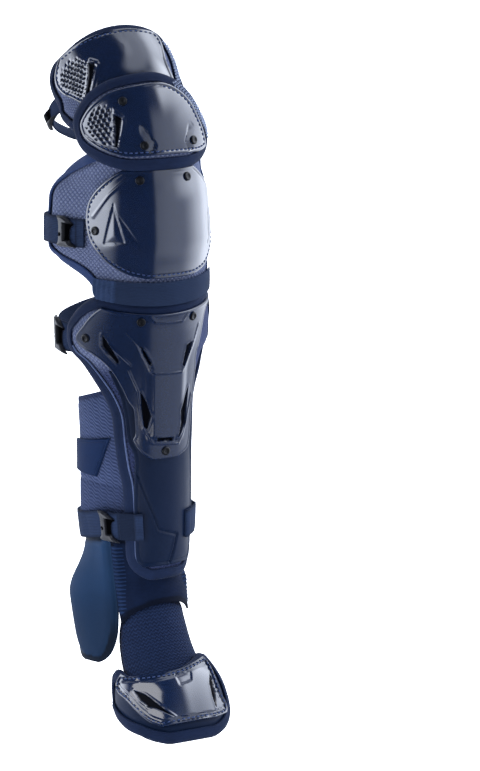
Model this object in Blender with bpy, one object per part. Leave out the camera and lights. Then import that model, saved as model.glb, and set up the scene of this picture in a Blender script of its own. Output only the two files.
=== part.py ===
"""A baseball catcher's leg guard: plates on padded backings, held round the leg by straps.

The frame is in metres with +Z up. The wearer faces -Y, and +X is to the right seen from the front.
The origin is on the leg's axis at the height of the knee cap's middle.
"""
import math

import bmesh
import bpy
from mathutils import Vector

MM = 0.001

# The leg that the guard is shaped round, in millimetres
KNEE_TO_TOP = 184.0        # from the knee cap's middle up to the thigh edge
KNEE_TO_TOE = 520.0        # from the knee cap's middle down to the toe edge
TOE_REACH = 130.0          # how far the toe edge stands ahead of the leg's axis
LEG_HALF_WIDTH = 62.0
LEG_HALF_DEPTH = 70.0

# Thicknesses and layers, outward from the leg
LAYER_GAP = 0.8            # between two layers; keeps faceted faces apart on the curve
PAD_THICKNESS = 9.0        # thigh and knee backing
CAP_PAD_THICKNESS = 5.0    # backing under the upper knee plate
SHIN_PAD_THICKNESS = 7.0
PANEL_THICKNESS = 2.4      # moulded foam panel on the shin
PLATE_THICKNESS = 3.0
WING_THICKNESS = 5.0       # calf and ankle side flaps
CUFF_THICKNESS = 3.8
INSTEP_THICKNESS = 4.0
BAND_THICKNESS = 2.2
PATCH_THICKNESS = 2.0
TOE_PAD_THICKNESS = 9.0
BINDING_WIDTH = 7.0        # edge tape, across the pad's rim
BINDING_PROUD = 1.0        # how far the tape stands above the pad
BINDING_TUCK = 0.85        # its inner edge reaches this share of its width
BINDING_SHOULDER = 0.8     # its outer edge rounds off at this share of its width, this far down
CAP_PACKING = PLATE_THICKNESS - BINDING_PROUD    # extra thigh pad under the upper knee cap
KNEE_PACKING = CAP_PACKING + 0.4                 # the same on the knee pad
STRAP_SEAT_GAP = 0.5       # strap over a pad's edge tape

# Forms that stand off the leg
THIGH_FLARE = 6.0          # left edge of the thigh pad swings away from the leg
KNEE_BULGE = 6.0           # crown of the knee cap over the leg
WING_FLARE = 16.0          # left knee wing swings away from the leg
RIGHT_WING_SHARE = 0.5     # the right wing swings out this share of it
SHIN_FLARE = 5.0           # side lobes of the shin pad
CALF_TUCK = -4.0           # rear edge of the calf flap at its top, off the leg
CALF_SPREAD = 11.0         # how much further out the same edge lies at the bottom
ANKLE_TUCK = -1.0          # front edge of the ankle guard, off the leg
ANKLE_LIFT = 6.5           # its rear edge at the top
ANKLE_FLARE = 22.5         # how much further out the rear edge stands beside the ankle bone
RIGHT_RISE = 1.2           # the cuff comes out from under the pad this much higher up on the right
INSTEP_TUCK = 3.0          # the tongue's top lies this much deeper, under the cuff
INSTEP_GAP = 0.6           # between the tongue and the cuff over it
INSTEP_DIP = 0.7           # its lower end lies this much deeper, under the toe pad's tape
SPINE_HEIGHT = 2.6         # raised middle of the shin plate
SPINE_HALF_TOP = 26.0      # its half width in degrees, above and below
SPINE_HALF_LOW = 14.0

# Straps and small hardware
STRAP_WIDTH = 28.0
THIGH_STRAP_WIDTH = 24.0
TOE_STRAP_WIDTH = 18.0
STRAP_THICKNESS = 2.0
BUCKLE_LENGTH = 26.0
BUCKLE_THICKNESS = 5.0
BUCKLE_RIM = 1.5           # how far a buckle is longer than its strap is wide, each side
BUCKLE_CORNER = 4.0
RIVET_RADIUS = 4.4
RIVET_HEIGHT = 1.6
RIVET_SEAT_GAP = 0.5       # clears the plate's faceted curve
RIVET_SIDES = 12
STRAP_LIFT = 10.0          # unit of the straps' heights below

# Rivet head. Columns: level (share of RIVET_HEIGHT), radius (share of RIVET_RADIUS).
RIVET_PROFILE = [(0.0, 1.0), (0.55, 1.0), (0.95, 0.62)]

# Columns of a patch crowd towards its two ends by this share.
END_CROWDING = 0.15

# The leg's front line and sections, from the thigh edge to the toe edge.
# Columns: forward (share of TOE_REACH), rise (share of KNEE_TO_TOP above the knee, of KNEE_TO_TOE
# below it), half width (share of LEG_HALF_WIDTH), half depth (share of LEG_HALF_DEPTH).
LEG_SECTIONS = [
    (-0.185, 1.000, 0.87, 0.86),
    (0.077, 0.875, 0.90, 0.86),
    (0.262, 0.750, 0.90, 0.89),
    (0.385, 0.598, 0.89, 0.91),
    (0.454, 0.424, 0.87, 0.94),
    (0.485, 0.245, 0.90, 0.97),
    (0.508, 0.000, 0.94, 1.00),
    (0.523, -0.077, 0.97, 1.00),
    (0.508, -0.144, 1.00, 0.97),
    (0.462, -0.212, 1.00, 0.94),
    (0.423, -0.308, 0.97, 0.89),
    (0.400, -0.404, 0.90, 0.83),
    (0.392, -0.500, 0.81, 0.79),
    (0.400, -0.596, 0.74, 0.76),
    (0.415, -0.692, 0.68, 0.71),
    (0.477, -0.779, 0.65, 0.66),
    (0.615, -0.846, 0.71, 0.60),
    (0.792, -0.896, 0.83, 0.54),
    (0.938, -0.962, 0.88, 0.51),
    (1.000, -1.000, 0.88, 0.51),
]

# Every piece below is a table of sections across the guard, from its top edge to its bottom edge.
# Columns: along (percent of the front line from the thigh edge), left edge and right edge (degrees
# round the leg from the front, right positive), slant and sag (percent of the front line: how much
# further along the right end lies than the middle, and how much further both ends lie).
THIGH_PAD = [
    (1.9, -80, 20, 1.0, 0.1),
    (2.8, -90, 27, 0.7, 0.0),
    (4.5, -92, 29, 0.3, 0.0),
    (6.6, -90, 30, 0.0, 0.0),
    (8.6, -92, 29, 0.0, 0.0),
    (10.8, -90, 27, 0.0, 0.0),
    (12.5, -86, 25, 0.0, 0.0),
    (13.6, -82, 24, 0.0, 0.0),
    (15.3, -72, 22, 0.0, 0.0),
    (16.8, -60, 20, 0.0, 0.0),
]
THIGH_SHELL = [
    (2.5, -70, 17, 1.2, -0.2),
    (3.3, -80, 20, 0.7, 0.0),
    (4.7, -83, 21, 0.4, 0.0),
    (6.6, -80, 19, 0.1, 0.0),
    (8.6, -74, 17, 0.0, 0.0),
    (10.8, -67, 19, 0.0, 0.0),
    (12.1, -58, 20, 0.0, 0.0),
]
UPPER_KNEE_PAD = [
    (10.9, -38, -4, 0.1, 0.0),
    (11.1, -47, 2, 0.1, 0.0),
    (11.5, -55, 9, 0.1, 0.0),
    (12.1, -61, 16, 0.0, 0.0),
    (12.8, -65, 22, 0.0, 0.0),
    (13.7, -69, 29, 0.0, 0.0),
    (15.4, -71, 38, 0.0, 0.0),
    (17.1, -70, 50, 0.0, 0.0),
    (18.1, -66, 54, 0.0, 0.0),
    (18.9, -60, 52, 0.0, 0.0),
    (19.6, -54, 45, 0.0, 0.0),
    (20.2, -47, 37, 0.0, 0.0),
    (20.7, -38, 28, 0.0, 0.0),
    (21.0, -28, 19, 0.0, 0.0),
]
UPPER_KNEE_SHELL = [
    (11.7, -34, -2, 0.0, 0.0),
    (11.9, -42, 4, 0.0, 0.0),
    (12.3, -50, 10, 0.0, 0.0),
    (13.1, -58, 18, 0.0, 0.0),
    (14.2, -64, 25, 0.0, 0.0),
    (15.5, -66, 30, 0.0, 0.0),
    (17.0, -64, 36, 0.0, 0.0),
    (18.2, -57, 39, 0.0, 0.0),
    (18.9, -51, 40, 0.0, 0.0),
    (19.5, -44, 39, 0.0, 0.0),
    (19.9, -36, 33, 0.0, 0.0),
    (20.1, -29, 26, 0.0, 0.0),
]
KNEE_PAD = [
    (19.3, -50, 42, 0.0, 0.0),
    (20.3, -66, 52, 0.0, 0.0),
    (21.4, -83, 62, 0.0, 0.0),
    (22.6, -98, 72, 0.0, 0.0),
    (24.2, -106, 80, 0.0, 0.0),
    (26.1, -108, 84, 0.0, 0.0),
    (28.3, -109, 85, 0.0, 0.0),
    (30.9, -109, 85, 0.0, 0.0),
    (32.9, -106, 82, 0.0, 0.0),
    (34.5, -95, 74, 0.0, 0.0),
    (35.3, -80, 68, 0.0, 0.0),
    (36.0, -70, 63, 0.0, 0.0),
    (36.8, -63, 60, 0.0, 0.0),
    (37.8, -58, 56, 0.0, 0.0),
]
KNEE_SHELL = [
    (21.9, -38, 29, 0.0, 0.0),
    (22.7, -47, 38, 0.0, 0.0),
    (23.7, -54, 46, 0.0, 0.0),
    (24.9, -61, 54, 0.0, 0.0),
    (26.3, -66, 60, 0.0, 0.0),
    (28.2, -68, 63, 0.0, 0.0),
    (30.0, -66, 62, 0.0, 0.0),
    (31.4, -62, 60, 0.0, 0.0),
    (32.6, -56, 55, 0.0, 0.0),
    (33.7, -50, 50, 0.0, 0.0),
    (34.6, -42, 44, 0.0, 0.0),
    (35.3, -32, 36, 0.0, 0.0),
    (35.8, -18, 22, 0.0, 0.0),
]
KNEE_BAND = [
    (36.3, -60, 60, 0.0, 0.0),
    (37.8, -61, 60, 0.0, 0.0),
    (39.4, -58, 57, 0.0, 0.0),
]
SHIN_PAD = [
    (40.3, -56, 54, 0.0, 0.0),
    (41.5, -66, 64, 0.0, 0.0),
    (42.9, -75, 72, 0.0, 0.0),
    (44.3, -81, 78, 0.0, 0.0),
    (46.1, -82, 78, 0.0, 0.0),
    (47.5, -78, 72, 0.0, 0.0),
    (48.6, -69, 62, 0.0, 0.0),
    (49.9, -60, 52, 0.0, 0.0),
    (51.1, -53, 44, 0.0, 0.0),
    (52.4, -47, 39, 0.0, 0.0),
    (53.7, -43, 37, 0.0, 0.0),
    (55.3, -40, 38, 0.0, 0.0),
    (58.7, -39, 41, 0.0, 0.0),
    (62.1, -37, 45, 0.0, 0.0),
    (64.5, -34, 48, 0.0, 0.0),
    (68.4, -34, 50, 0.0, 0.0),
    (72.4, -35, 50, 0.0, 0.0),
    (74.5, -35, 48, 0.0, 0.0),
    (75.7, -29, 42, 0.0, 0.0),
    (76.6, -16, 30, 0.0, 0.0),
]
SHIN_PANEL = [
    (48.9, -46, 36, 0.0, 0.0),
    (50.7, -41, 34, 0.0, 0.0),
    (52.2, -37, 33, 0.0, 0.0),
    (54.9, -34, 33, 0.0, 0.0),
    (58.3, -32, 36, 0.0, 0.0),
    (60.3, -27, 38, 0.0, 0.0),
    (63.2, -28, 41, 0.0, 0.0),
    (67.0, -30, 44, 0.0, 0.0),
    (71.7, -31, 44, 0.0, 0.0),
    (74.5, -31, 42, 0.0, 0.0),
    (75.6, -25, 36, 0.0, 0.0),
]
SHIN_SHELL = [
    (40.5, -52, 50, 0.0, 0.0),
    (41.2, -56, 44, 0.0, 0.0),
    (42.4, -62, 40, 0.0, 0.0),
    (43.8, -68, 38, 0.0, 0.0),
    (45.1, -72, 36, 0.0, 0.0),
    (46.1, -69, 34, 0.0, 0.0),
    (46.8, -59, 32, 0.0, 0.0),
    (47.6, -50, 31, 0.0, 0.0),
    (48.8, -42, 31, 0.0, 0.0),
    (50.7, -35, 30, 0.0, 0.0),
    (52.6, -30, 29, 0.0, 0.0),
    (53.6, -26, 28, 0.0, 0.0),
    (55.3, -25, 28, 0.0, 0.0),
    (57.1, -25, 28, 0.0, 0.0),
    (58.0, -27, 28, 0.0, 0.0),
    (59.2, -23, 27, 0.0, 0.0),
    (60.0, -18, 24, 0.0, 0.0),
    (60.7, -11, 14, 0.0, 0.0),
]
CALF_WING = [
    (52.9, -100, -44, -1.2, 0.0),
    (55.3, -112, -37, -0.5, 0.0),
    (59.2, -113, -36, 0.0, 0.0),
    (65.3, -113, -34, 0.0, 0.0),
    (69.7, -114, -33, -0.3, 0.0),
    (71.7, -114, -33, -0.9, 0.0),
]
CALF_PATCH = [
    (59.2, -110, -52, -0.8, 0.0),
    (64.0, -110, -74, 0.0, 0.0),
]
ANKLE_WING = [
    (72.6, -115, -66.0, -0.5, 0.0),
    (75.2, -116, -65.4, -0.2, 0.0),
    (77.6, -117, -65.4, 0.0, 0.0),
    (79.4, -117, -65.4, 0.0, 0.0),
    (81.6, -117, -67.0, 0.0, 0.0),
    (83.4, -116, -71.0, 0.2, 0.0),
    (84.8, -113, -77.0, 0.3, 0.0),
    (85.6, -108, -85.0, 0.5, 0.0),
]
ANKLE_CUFF = [
    (72.4, -64.0, 60, 0.2, 0.0),
    (75.6, -64.2, 62, 0.0, 0.0),
    (77.6, -64.2, 66, 0.0, 0.0),
    (79.2, -64.2, 66, 0.0, 0.8),
    (80.8, -64.2, 63, 0.1, 1.6),
]
INSTEP = [
    (80.0, -58, 44, 0.2, 1.2),
    (81.8, -67, 46, 0.2, 0.8),
    (83.6, -76, 48, 0.0, 0.2),
    (85.3, -81, 49, 0.0, 0.0),
    (87.0, -83, 51, 0.0, 0.0),
    (88.8, -80, 53, 0.0, 0.0),
    (91.0, -70, 50, 0.0, 0.0),
]
TOE_PAD = [
    (91.6, -84, 38, 0.4, -3.2),
    (92.2, -98, 44, 0.3, -2.6),
    (93.0, -102, 48, 0.2, -1.4),
    (94.1, -94, 50, 0.0, -0.6),
    (95.3, -79, 50, 0.0, -0.2),
    (96.7, -60, 46, 0.0, 0.0),
    (97.8, -44, 37, 0.0, 0.0),
    (98.6, -26, 22, 0.0, 0.0),
]
TOE_SHELL = [
    (90.8, -66, 27, 0.4, -1.9),
    (91.6, -76, 31, 0.5, -1.8),
    (92.8, -74, 32, 0.8, -1.2),
    (94.2, -63, 34, 0.7, -0.6),
    (95.5, -53, 38, 0.5, -0.3),
    (96.7, -42, 35, 0.3, 0.0),
    (97.4, -32, 20, 0.0, 0.0),
]

# Straps run round the back of the leg, so their angles go on past half a turn.
# Columns: angle (degrees), along (percent), height of the inner face off the leg (share of STRAP_LIFT).
THIGH_STRAP = [
    (-74, 5.4, -0.30), (-92, 5.0, 0.30), (-99, 4.7, 0.75), (-107, 4.4, 1.35), (-116, 4.2, 1.80),
    (-125, 4.1, 1.75), (-142, 4.2, 1.20), (-180, 4.8, 0.20), (-230, 5.4, 0.20), (-280, 6.4, 0.20), (-310, 7.0, -0.10), (-338, 7.0, -0.36),
]
KNEE_STRAP = [
    (-70, 30.2, 1.17), (-82, 30.2, 1.40), (-94, 30.1, 1.90), (-107, 30.1, 2.60), (-116, 30.1, 2.70),
    (-132, 30.0, 1.50), (-155, 30.0, 0.50), (-190, 30.0, 0.25), (-225, 30.0, 0.60), (-248, 30.0, 1.80),
    (-268, 30.0, 2.00), (-280, 30.1, 1.50), (-293, 30.1, 1.15),
]
SHIN_STRAP = [
    (-66, 45.6, 0.00), (-84, 46.1, 0.20), (-96, 46.4, 0.80), (-108, 46.6, 1.20), (-122, 46.6, 1.10),
    (-150, 46.4, 0.40), (-190, 46.0, 0.20), (-230, 45.8, 0.40), (-258, 45.8, 0.60), (-276, 45.8, 0.20),
    (-294, 45.8, 0.00),
]
CALF_STRAP = [
    (-22, 70.0, 1.15), (-34, 70.0, 1.10), (-43, 70.0, 1.06), (-54, 70.1, 0.90), (-70, 70.2, 0.75),
    (-90, 70.8, 0.95), (-106, 71.2, 1.15), (-118, 71.4, 1.25), (-138, 71.4, 0.80), (-180, 71.2, 0.30),
    (-230, 70.8, 0.30), (-270, 70.5, 0.40), (-292, 70.4, 0.75), (-304, 70.4, 1.00), (-316, 70.4, 1.05),
    (-332, 70.4, 1.10),
]
TOE_STRAP = [
    (-58, 95.0, -0.46), (-78, 94.9, -0.44), (-98, 94.8, -0.10), (-130, 94.6, 0.00), (-170, 94.4, 0.00),
    (-215, 94.2, 0.00), (-260, 93.8, 0.00), (-296, 93.5, -0.10), (-330, 93.3, -0.34),
]

# Rivets and buckles. Columns: name, angle (degrees), along (percent), layer it sits on.
RIVETS = [
    ("upper_knee_rivet_top", -30, 13.3, "upper_knee_shell"),
    ("upper_knee_rivet_left", -19, 18.8, "upper_knee_shell"),
    ("upper_knee_rivet_right", 22, 18.6, "upper_knee_shell"),
    ("knee_rivet_left", -23, 23.2, "knee_shell"),
    ("knee_rivet_right", 19, 23.1, "knee_shell"),
    ("knee_rivet_side", -58, 29.6, "knee_shell"),
    ("shin_rivet_side", -63, 44.9, "shin_shell"),
    ("shin_rivet_left", -21, 41.6, "shin_shell"),
    ("shin_rivet_right", 23, 41.6, "shin_shell"),
    ("shin_rivet_low", 1, 59.6, "shin_shell"),
]

# Columns: name, strap it sits on, angle (degrees), along (percent), the strap's width.
BUCKLES = [
    ("thigh_buckle", "thigh_strap", -115, 4.2, THIGH_STRAP_WIDTH),
    ("knee_buckle", "knee_strap", -86, 30.1, STRAP_WIDTH),
    ("shin_buckle", "shin_strap", -103, 46.5, STRAP_WIDTH),
    ("calf_buckle", "calf_strap", -58, 70.2, STRAP_WIDTH),
]

NAVY = (0.010, 0.020, 0.052)
SLATE = (0.060, 0.080, 0.140)
BLACK = (0.010, 0.010, 0.012)


def clear_scene():
    for thing in list(bpy.data.objects):
        bpy.data.objects.remove(thing, do_unlink=True)


def ramp(value, start, end):
    """A smooth step from 0 at start to 1 at end."""
    share = min(1.0, max(0.0, (value - start) / (end - start)))
    return share * share * (3.0 - 2.0 * share)


def curve_through(rows, position):
    """Read a table of rows at a fractional row number, smoothly."""
    last = len(rows) - 1
    first = min(int(position), last - 1)
    share = position - first
    before = rows[max(first - 1, 0)]
    after = rows[min(first + 2, last)]
    result = []
    for p0, p1, p2, p3 in zip(before, rows[first], rows[first + 1], after):
        pull_in = (p2 - p0) * 0.5
        pull_out = (p3 - p1) * 0.5
        a = 2.0 * p1 - 2.0 * p2 + pull_in + pull_out
        b = -3.0 * p1 + 3.0 * p2 - 2.0 * pull_in - pull_out
        result.append(((a * share + b) * share + pull_in) * share + p1)
    return result


def leg_rows():
    """The leg's sections in millimetres: y, z, half width, half depth."""
    rows = []
    for forward, rise, width, depth in LEG_SECTIONS:
        tall = KNEE_TO_TOP if rise > 0.0 else KNEE_TO_TOE
        rows.append((-forward * TOE_REACH, rise * tall, width * LEG_HALF_WIDTH, depth * LEG_HALF_DEPTH))
    return rows


LEG = leg_rows()


def station_lengths():
    """The front line's length at each section."""
    lengths = [0.0]
    for (y0, z0, _, _), (y1, z1, _, _) in zip(LEG, LEG[1:]):
        lengths.append(lengths[-1] + math.hypot(y1 - y0, z1 - z0))
    return lengths


STATIONS = station_lengths()
FRONT_LINE = STATIONS[-1]


def leg_section(along):
    """y, z, half width and half depth at a percentage of the front line."""
    length = min(max(along * 0.01 * FRONT_LINE, 0.0), FRONT_LINE)
    index = 0
    while index < len(STATIONS) - 2 and STATIONS[index + 1] < length:
        index += 1
    share = (length - STATIONS[index]) / (STATIONS[index + 1] - STATIONS[index])
    return curve_through(LEG, index + share)


def leg_point(angle, along, height):
    """A point at an angle round the leg, a way along it and a height off it, in metres."""
    y, z, half_width, half_depth = leg_section(along)
    y0, z0, _, _ = leg_section(along - 0.2)
    y1, z1, _, _ = leg_section(along + 0.2)
    run = math.hypot(y1 - y0, z1 - z0)
    out_y = (z1 - z0) / run
    out_z = -(y1 - y0) / run
    turn = math.radians(angle)
    inward = (half_depth + height) * math.cos(turn) - half_depth
    return Vector(((half_width + height) * math.sin(turn), y + out_y * inward, z + out_z * inward)) * MM


def face_point(face, angle, along):
    return leg_point(angle, along, face(angle, along))


def face_frame(face, angle, along):
    """A point on a face with its directions: round the leg, down the leg and outward."""
    around = (face_point(face, angle + 3.0, along) - face_point(face, angle - 3.0, along)).normalized()
    slope = face_point(face, angle, along + 0.5) - face_point(face, angle, along - 0.5)
    outward = slope.cross(around).normalized()
    down = around.cross(outward).normalized()
    return face_point(face, angle, along), around, down, outward


def knee_bulge(angle, along):
    """Crown of the knee over the leg."""
    across = ramp(abs(angle), 86.0, 20.0)
    lengthwise = ramp(along, 21.8, 27.0) * ramp(along, 36.0, 31.0)
    return KNEE_BULGE * across * lengthwise


def wing_flare(angle, along):
    """The knee's side wings swing away from the leg."""
    reach = ramp(-angle, 66.0, 112.0) + RIGHT_WING_SHARE * ramp(angle, 66.0, 100.0)
    return WING_FLARE * reach * ramp(along, 20.5, 26.0) * ramp(along, 38.0, 32.5)


def knee_height(angle, along):
    return knee_bulge(angle, along) + wing_flare(angle, along)


def thigh_lift(angle, along):
    """The thigh pad's left edge swings away from the leg."""
    return THIGH_FLARE * ramp(-angle, 60.0, 92.0) * ramp(along, 18.0, 12.0)


def shin_lobe(angle, along):
    """The shin pad's side lobes lift a little off the calf."""
    reach = ramp(abs(angle), 45.0, 85.0)
    return SHIN_FLARE * reach * ramp(along, 40.0, 44.0) * ramp(along, 50.0, 46.0)


def calf_lift(angle, along):
    """Inner face of the calf flap: under the pad at the front, off the leg behind."""
    under = -(WING_THICKNESS + LAYER_GAP)
    behind = CALF_TUCK + CALF_SPREAD * ramp(along, 55.0, 72.0)
    return under + (behind - under) * ramp(-angle, 50.0, 108.0)


def ankle_lift(angle, along):
    """Inner face of the ankle guard: close to the cuff in front, well off the ankle behind."""
    far = ANKLE_LIFT + ANKLE_FLARE * ramp(along, 73.5, 79.5)
    return ANKLE_TUCK + (far - ANKLE_TUCK) * ramp(-angle, 62.0, 112.0)


def cuff_lift(angle, along):
    """Inner face of the cuff: under the shin pad above, level with it below and at its left end."""
    down = along + RIGHT_RISE * ramp(angle, 46.0, 60.0)
    return -(CUFF_THICKNESS + LAYER_GAP) * ramp(down, 79.8, 77.6) * ramp(angle, -60.0, -48.0)


def instep_lift(angle, along):
    """Inner face of the tongue: under the cuff above, under the toe pad below."""
    level = -(INSTEP_THICKNESS + INSTEP_GAP) - INSTEP_DIP * ramp(along, 84.0, 87.0)
    return level - INSTEP_TUCK * ramp(along, 82.2, 80.0)


def shin_relief(angle, along):
    """The shin plate's raised middle, wide above and narrow below."""
    half = SPINE_HALF_TOP + (SPINE_HALF_LOW - SPINE_HALF_TOP) * ramp(along, 43.0, 49.0)
    inside = ramp(abs(angle - 2.0), half + 5.0, half - 3.0)
    return SPINE_HEIGHT * inside * ramp(along, 42.5, 46.0) * ramp(along, 58.7, 57.2)


def no_relief(angle, along):
    return 0.0


def even_columns(count):
    """Positions across a row from -1 to 1, closer together at both ends."""
    places = []
    for index in range(count + 1):
        share = 2.0 * index / count - 1.0
        places.append((1.0 - END_CROWDING) * share + END_CROWDING * math.sin(share * math.pi * 0.5))
    return places


def patch_grid(table, columns, steps):
    """Angle and along for a grid over the table."""
    grid = []
    for index in range((len(table) - 1) * steps + 1):
        along, left, right, slant, sag = curve_through(table, index / steps)
        row = []
        for place in even_columns(columns):
            angle = left + (right - left) * (place + 1.0) * 0.5
            row.append((angle, along + slant * place + sag * place * place))
        grid.append(row)
    return grid


def sheet_object(name, inner, outer, colour, roughness):
    """A closed wall between two grids of points with the same rows and columns."""
    rows = len(inner)
    columns = len(inner[0])
    mesh = bpy.data.meshes.new(name)
    bm = bmesh.new()
    low = [[bm.verts.new(point) for point in row] for row in inner]
    high = [[bm.verts.new(point) for point in row] for row in outer]
    for r in range(rows - 1):
        for c in range(columns - 1):
            bm.faces.new((high[r][c], high[r + 1][c], high[r + 1][c + 1], high[r][c + 1]))
            bm.faces.new((low[r][c], low[r][c + 1], low[r + 1][c + 1], low[r + 1][c]))
    rim = [(0, c) for c in range(columns)] + [(r, columns - 1) for r in range(1, rows)]
    rim += [(rows - 1, c) for c in range(columns - 2, -1, -1)] + [(r, 0) for r in range(rows - 2, 0, -1)]
    for (r0, c0), (r1, c1) in zip(rim, rim[1:] + rim[:1]):
        bm.faces.new((high[r0][c0], high[r1][c1], low[r1][c1], low[r0][c0]))
    return finish_object(name, mesh, bm, colour, roughness)


def finish_object(name, mesh, bm, colour, roughness):
    """Turn a mesh into a named object with its own material."""
    bmesh.ops.recalc_face_normals(bm, faces=bm.faces[:])
    bm.to_mesh(mesh)
    bm.free()
    mesh.shade_smooth()
    mesh.set_sharp_from_angle(angle=math.radians(35.0))
    thing = bpy.data.objects.new(name, mesh)
    bpy.context.scene.collection.objects.link(thing)
    material = bpy.data.materials.new(name)
    material.use_nodes = True
    shader = material.node_tree.nodes["Principled BSDF"]
    shader.inputs["Base Color"].default_value = (*colour, 1.0)
    shader.inputs["Roughness"].default_value = roughness
    mesh.materials.append(material)
    return thing


def build_patch(name, table, columns, inner, outer, colour, roughness, steps=1):
    """A wall over a table, with inner and outer heights off the leg. Returns its rim's grid."""
    grid = patch_grid(table, columns, steps)
    low = [[leg_point(a, s, inner(a, s)) for a, s in row] for row in grid]
    high = [[leg_point(a, s, outer(a, s)) for a, s in row] for row in grid]
    sheet_object(name, low, high, colour, roughness)
    return grid


def rim_of(grid):
    """The grid's outline in order, without repeats."""
    rows = len(grid)
    outline = list(grid[0]) + [grid[r][-1] for r in range(1, rows)]
    outline += list(reversed(grid[-1][:-1])) + [grid[r][0] for r in range(rows - 2, 0, -1)]
    return outline


def build_binding(name, grid, inner, outer, colour):
    """Edge tape round a pad: a closed band along the pad's outline."""
    outline = rim_of(grid)
    count = len(outline)
    rings = []
    for index, (angle, along) in enumerate(outline):
        before = face_point(inner, *outline[index - 1])
        after = face_point(inner, *outline[(index + 1) % count])
        low, _, _, outward = face_frame(inner, angle, along)
        side = outward.cross(after - before).normalized()
        high = leg_point(angle, along, outer(angle, along) + BINDING_PROUD)
        near = side * LAYER_GAP * MM
        far = side * (LAYER_GAP + BINDING_WIDTH) * MM
        middle = (low + high) * 0.5
        shoulder = high - outward * BINDING_SHOULDER * MM
        rings.append([low + near, low + far * BINDING_TUCK, middle + far, shoulder + far * BINDING_SHOULDER,
                      high + near])
    mesh = bpy.data.meshes.new(name)
    bm = bmesh.new()
    loops = [[bm.verts.new(point) for point in ring] for ring in rings]
    for index in range(count):
        here = loops[index]
        there = loops[(index + 1) % count]
        for k in range(len(here)):
            n = (k + 1) % len(here)
            bm.faces.new((here[k], here[n], there[n], there[k]))
    finish_object(name, mesh, bm, colour, 0.75)


def build_strap(name, table, width, seat, colour, steps=3):
    """A band of even width and thickness along its table of places, laid on its seat."""
    half = width / FRONT_LINE * 50.0
    low = []
    high = []
    for index in range((len(table) - 1) * steps + 1):
        angle, along, lift = curve_through(table, index / steps)
        edges = [(edge, seat(angle, edge, lift * STRAP_LIFT)) for edge in (along - half, along + half)]
        low.append([leg_point(angle, edge, height) for edge, height in edges])
        high.append([leg_point(angle, edge, height + STRAP_THICKNESS) for edge, height in edges])
    sheet_object(name, low, high, colour, 0.8)


def build_buckle(name, face, angle, along, width):
    """A curved block with cut corners that follows the strap under it."""
    half_tall = (width * 0.5 + BUCKLE_RIM) / FRONT_LINE * 100.0
    near = leg_point(angle - 1.0, along, face(angle, along))
    far = leg_point(angle + 1.0, along, face(angle, along))
    half_turn = BUCKLE_LENGTH * MM / (far - near).length
    corner = BUCKLE_CORNER / BUCKLE_LENGTH * 2.0
    table = []
    for step, reach in ((-1.0, 1.0 - corner), (-0.8, 1.0), (0.8, 1.0), (1.0, 1.0 - corner)):
        table.append((along + step * half_tall, angle - half_turn * reach, angle + half_turn * reach, 0.0, 0.0))

    def top(a, s):
        return face(a, s) + BUCKLE_THICKNESS

    build_patch(name, table, 5, face, top, BLACK, 0.35)


def build_rivet(name, face, angle, along):
    """A round rivet head: a short drum with a domed top."""
    origin, around, down, outward = face_frame(face, angle, along)
    origin = origin + outward * RIVET_SEAT_GAP * MM
    mesh = bpy.data.meshes.new(name)
    bm = bmesh.new()
    layers = []
    for level, shrink in RIVET_PROFILE:
        ring = []
        for k in range(RIVET_SIDES):
            turn = math.tau * k / RIVET_SIDES
            spread = RIVET_RADIUS * shrink
            offset = around * math.cos(turn) * spread + down * math.sin(turn) * spread
            ring.append(bm.verts.new(origin + (offset + outward * level * RIVET_HEIGHT) * MM))
        layers.append(ring)
    bm.faces.new(reversed(layers[0]))
    bm.faces.new(layers[-1])
    for lower, upper in zip(layers, layers[1:]):
        for k in range(RIVET_SIDES):
            n = (k + 1) % RIVET_SIDES
            bm.faces.new((lower[k], lower[n], upper[n], upper[k]))
    finish_object(name, mesh, bm, BLACK, 0.4)


# Heights off the leg of each layer's inner and outer face

def thigh_pad_outer(angle, along):
    """The pad thickens under the upper knee cap, where no plate lies on it."""
    return thigh_lift(angle, along) + PAD_THICKNESS + CAP_PACKING * ramp(along, 12.6, 13.6)


def thigh_plate_inner(angle, along):
    return thigh_lift(angle, along) + PAD_THICKNESS + LAYER_GAP


def thigh_plate_outer(angle, along):
    return thigh_plate_inner(angle, along) + PLATE_THICKNESS


def cap_pad_inner(angle, along):
    return thigh_plate_outer(angle, along) + LAYER_GAP


def cap_pad_outer(angle, along):
    return cap_pad_inner(angle, along) + CAP_PAD_THICKNESS


def cap_plate_inner(angle, along):
    return cap_pad_outer(angle, along) + LAYER_GAP


def cap_plate_outer(angle, along):
    return cap_plate_inner(angle, along) + PLATE_THICKNESS


def knee_pad_inner(angle, along):
    return knee_height(angle, along)


def knee_pad_outer(angle, along):
    return knee_height(angle, along) + PAD_THICKNESS + KNEE_PACKING * ramp(along, 21.2, 20.4)


def knee_plate_inner(angle, along):
    return knee_height(angle, along) + PAD_THICKNESS + LAYER_GAP


def knee_plate_outer(angle, along):
    return knee_plate_inner(angle, along) + PLATE_THICKNESS


def band_inner(angle, along):
    return PAD_THICKNESS + BINDING_PROUD + LAYER_GAP


def band_outer(angle, along):
    return band_inner(angle, along) + BAND_THICKNESS


def shin_pad_inner(angle, along):
    return shin_lobe(angle, along)


def shin_pad_outer(angle, along):
    """The pad is full height above the panel, so that the plate lies level."""
    full = PANEL_THICKNESS + LAYER_GAP
    return shin_lobe(angle, along) + SHIN_PAD_THICKNESS + full * ramp(along, 48.2, 47.0)


def panel_inner(angle, along):
    return SHIN_PAD_THICKNESS + LAYER_GAP + shin_lobe(angle, along)


def panel_outer(angle, along):
    return panel_inner(angle, along) + PANEL_THICKNESS


def shin_plate_inner(angle, along):
    return panel_outer(angle, along) + LAYER_GAP


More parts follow.
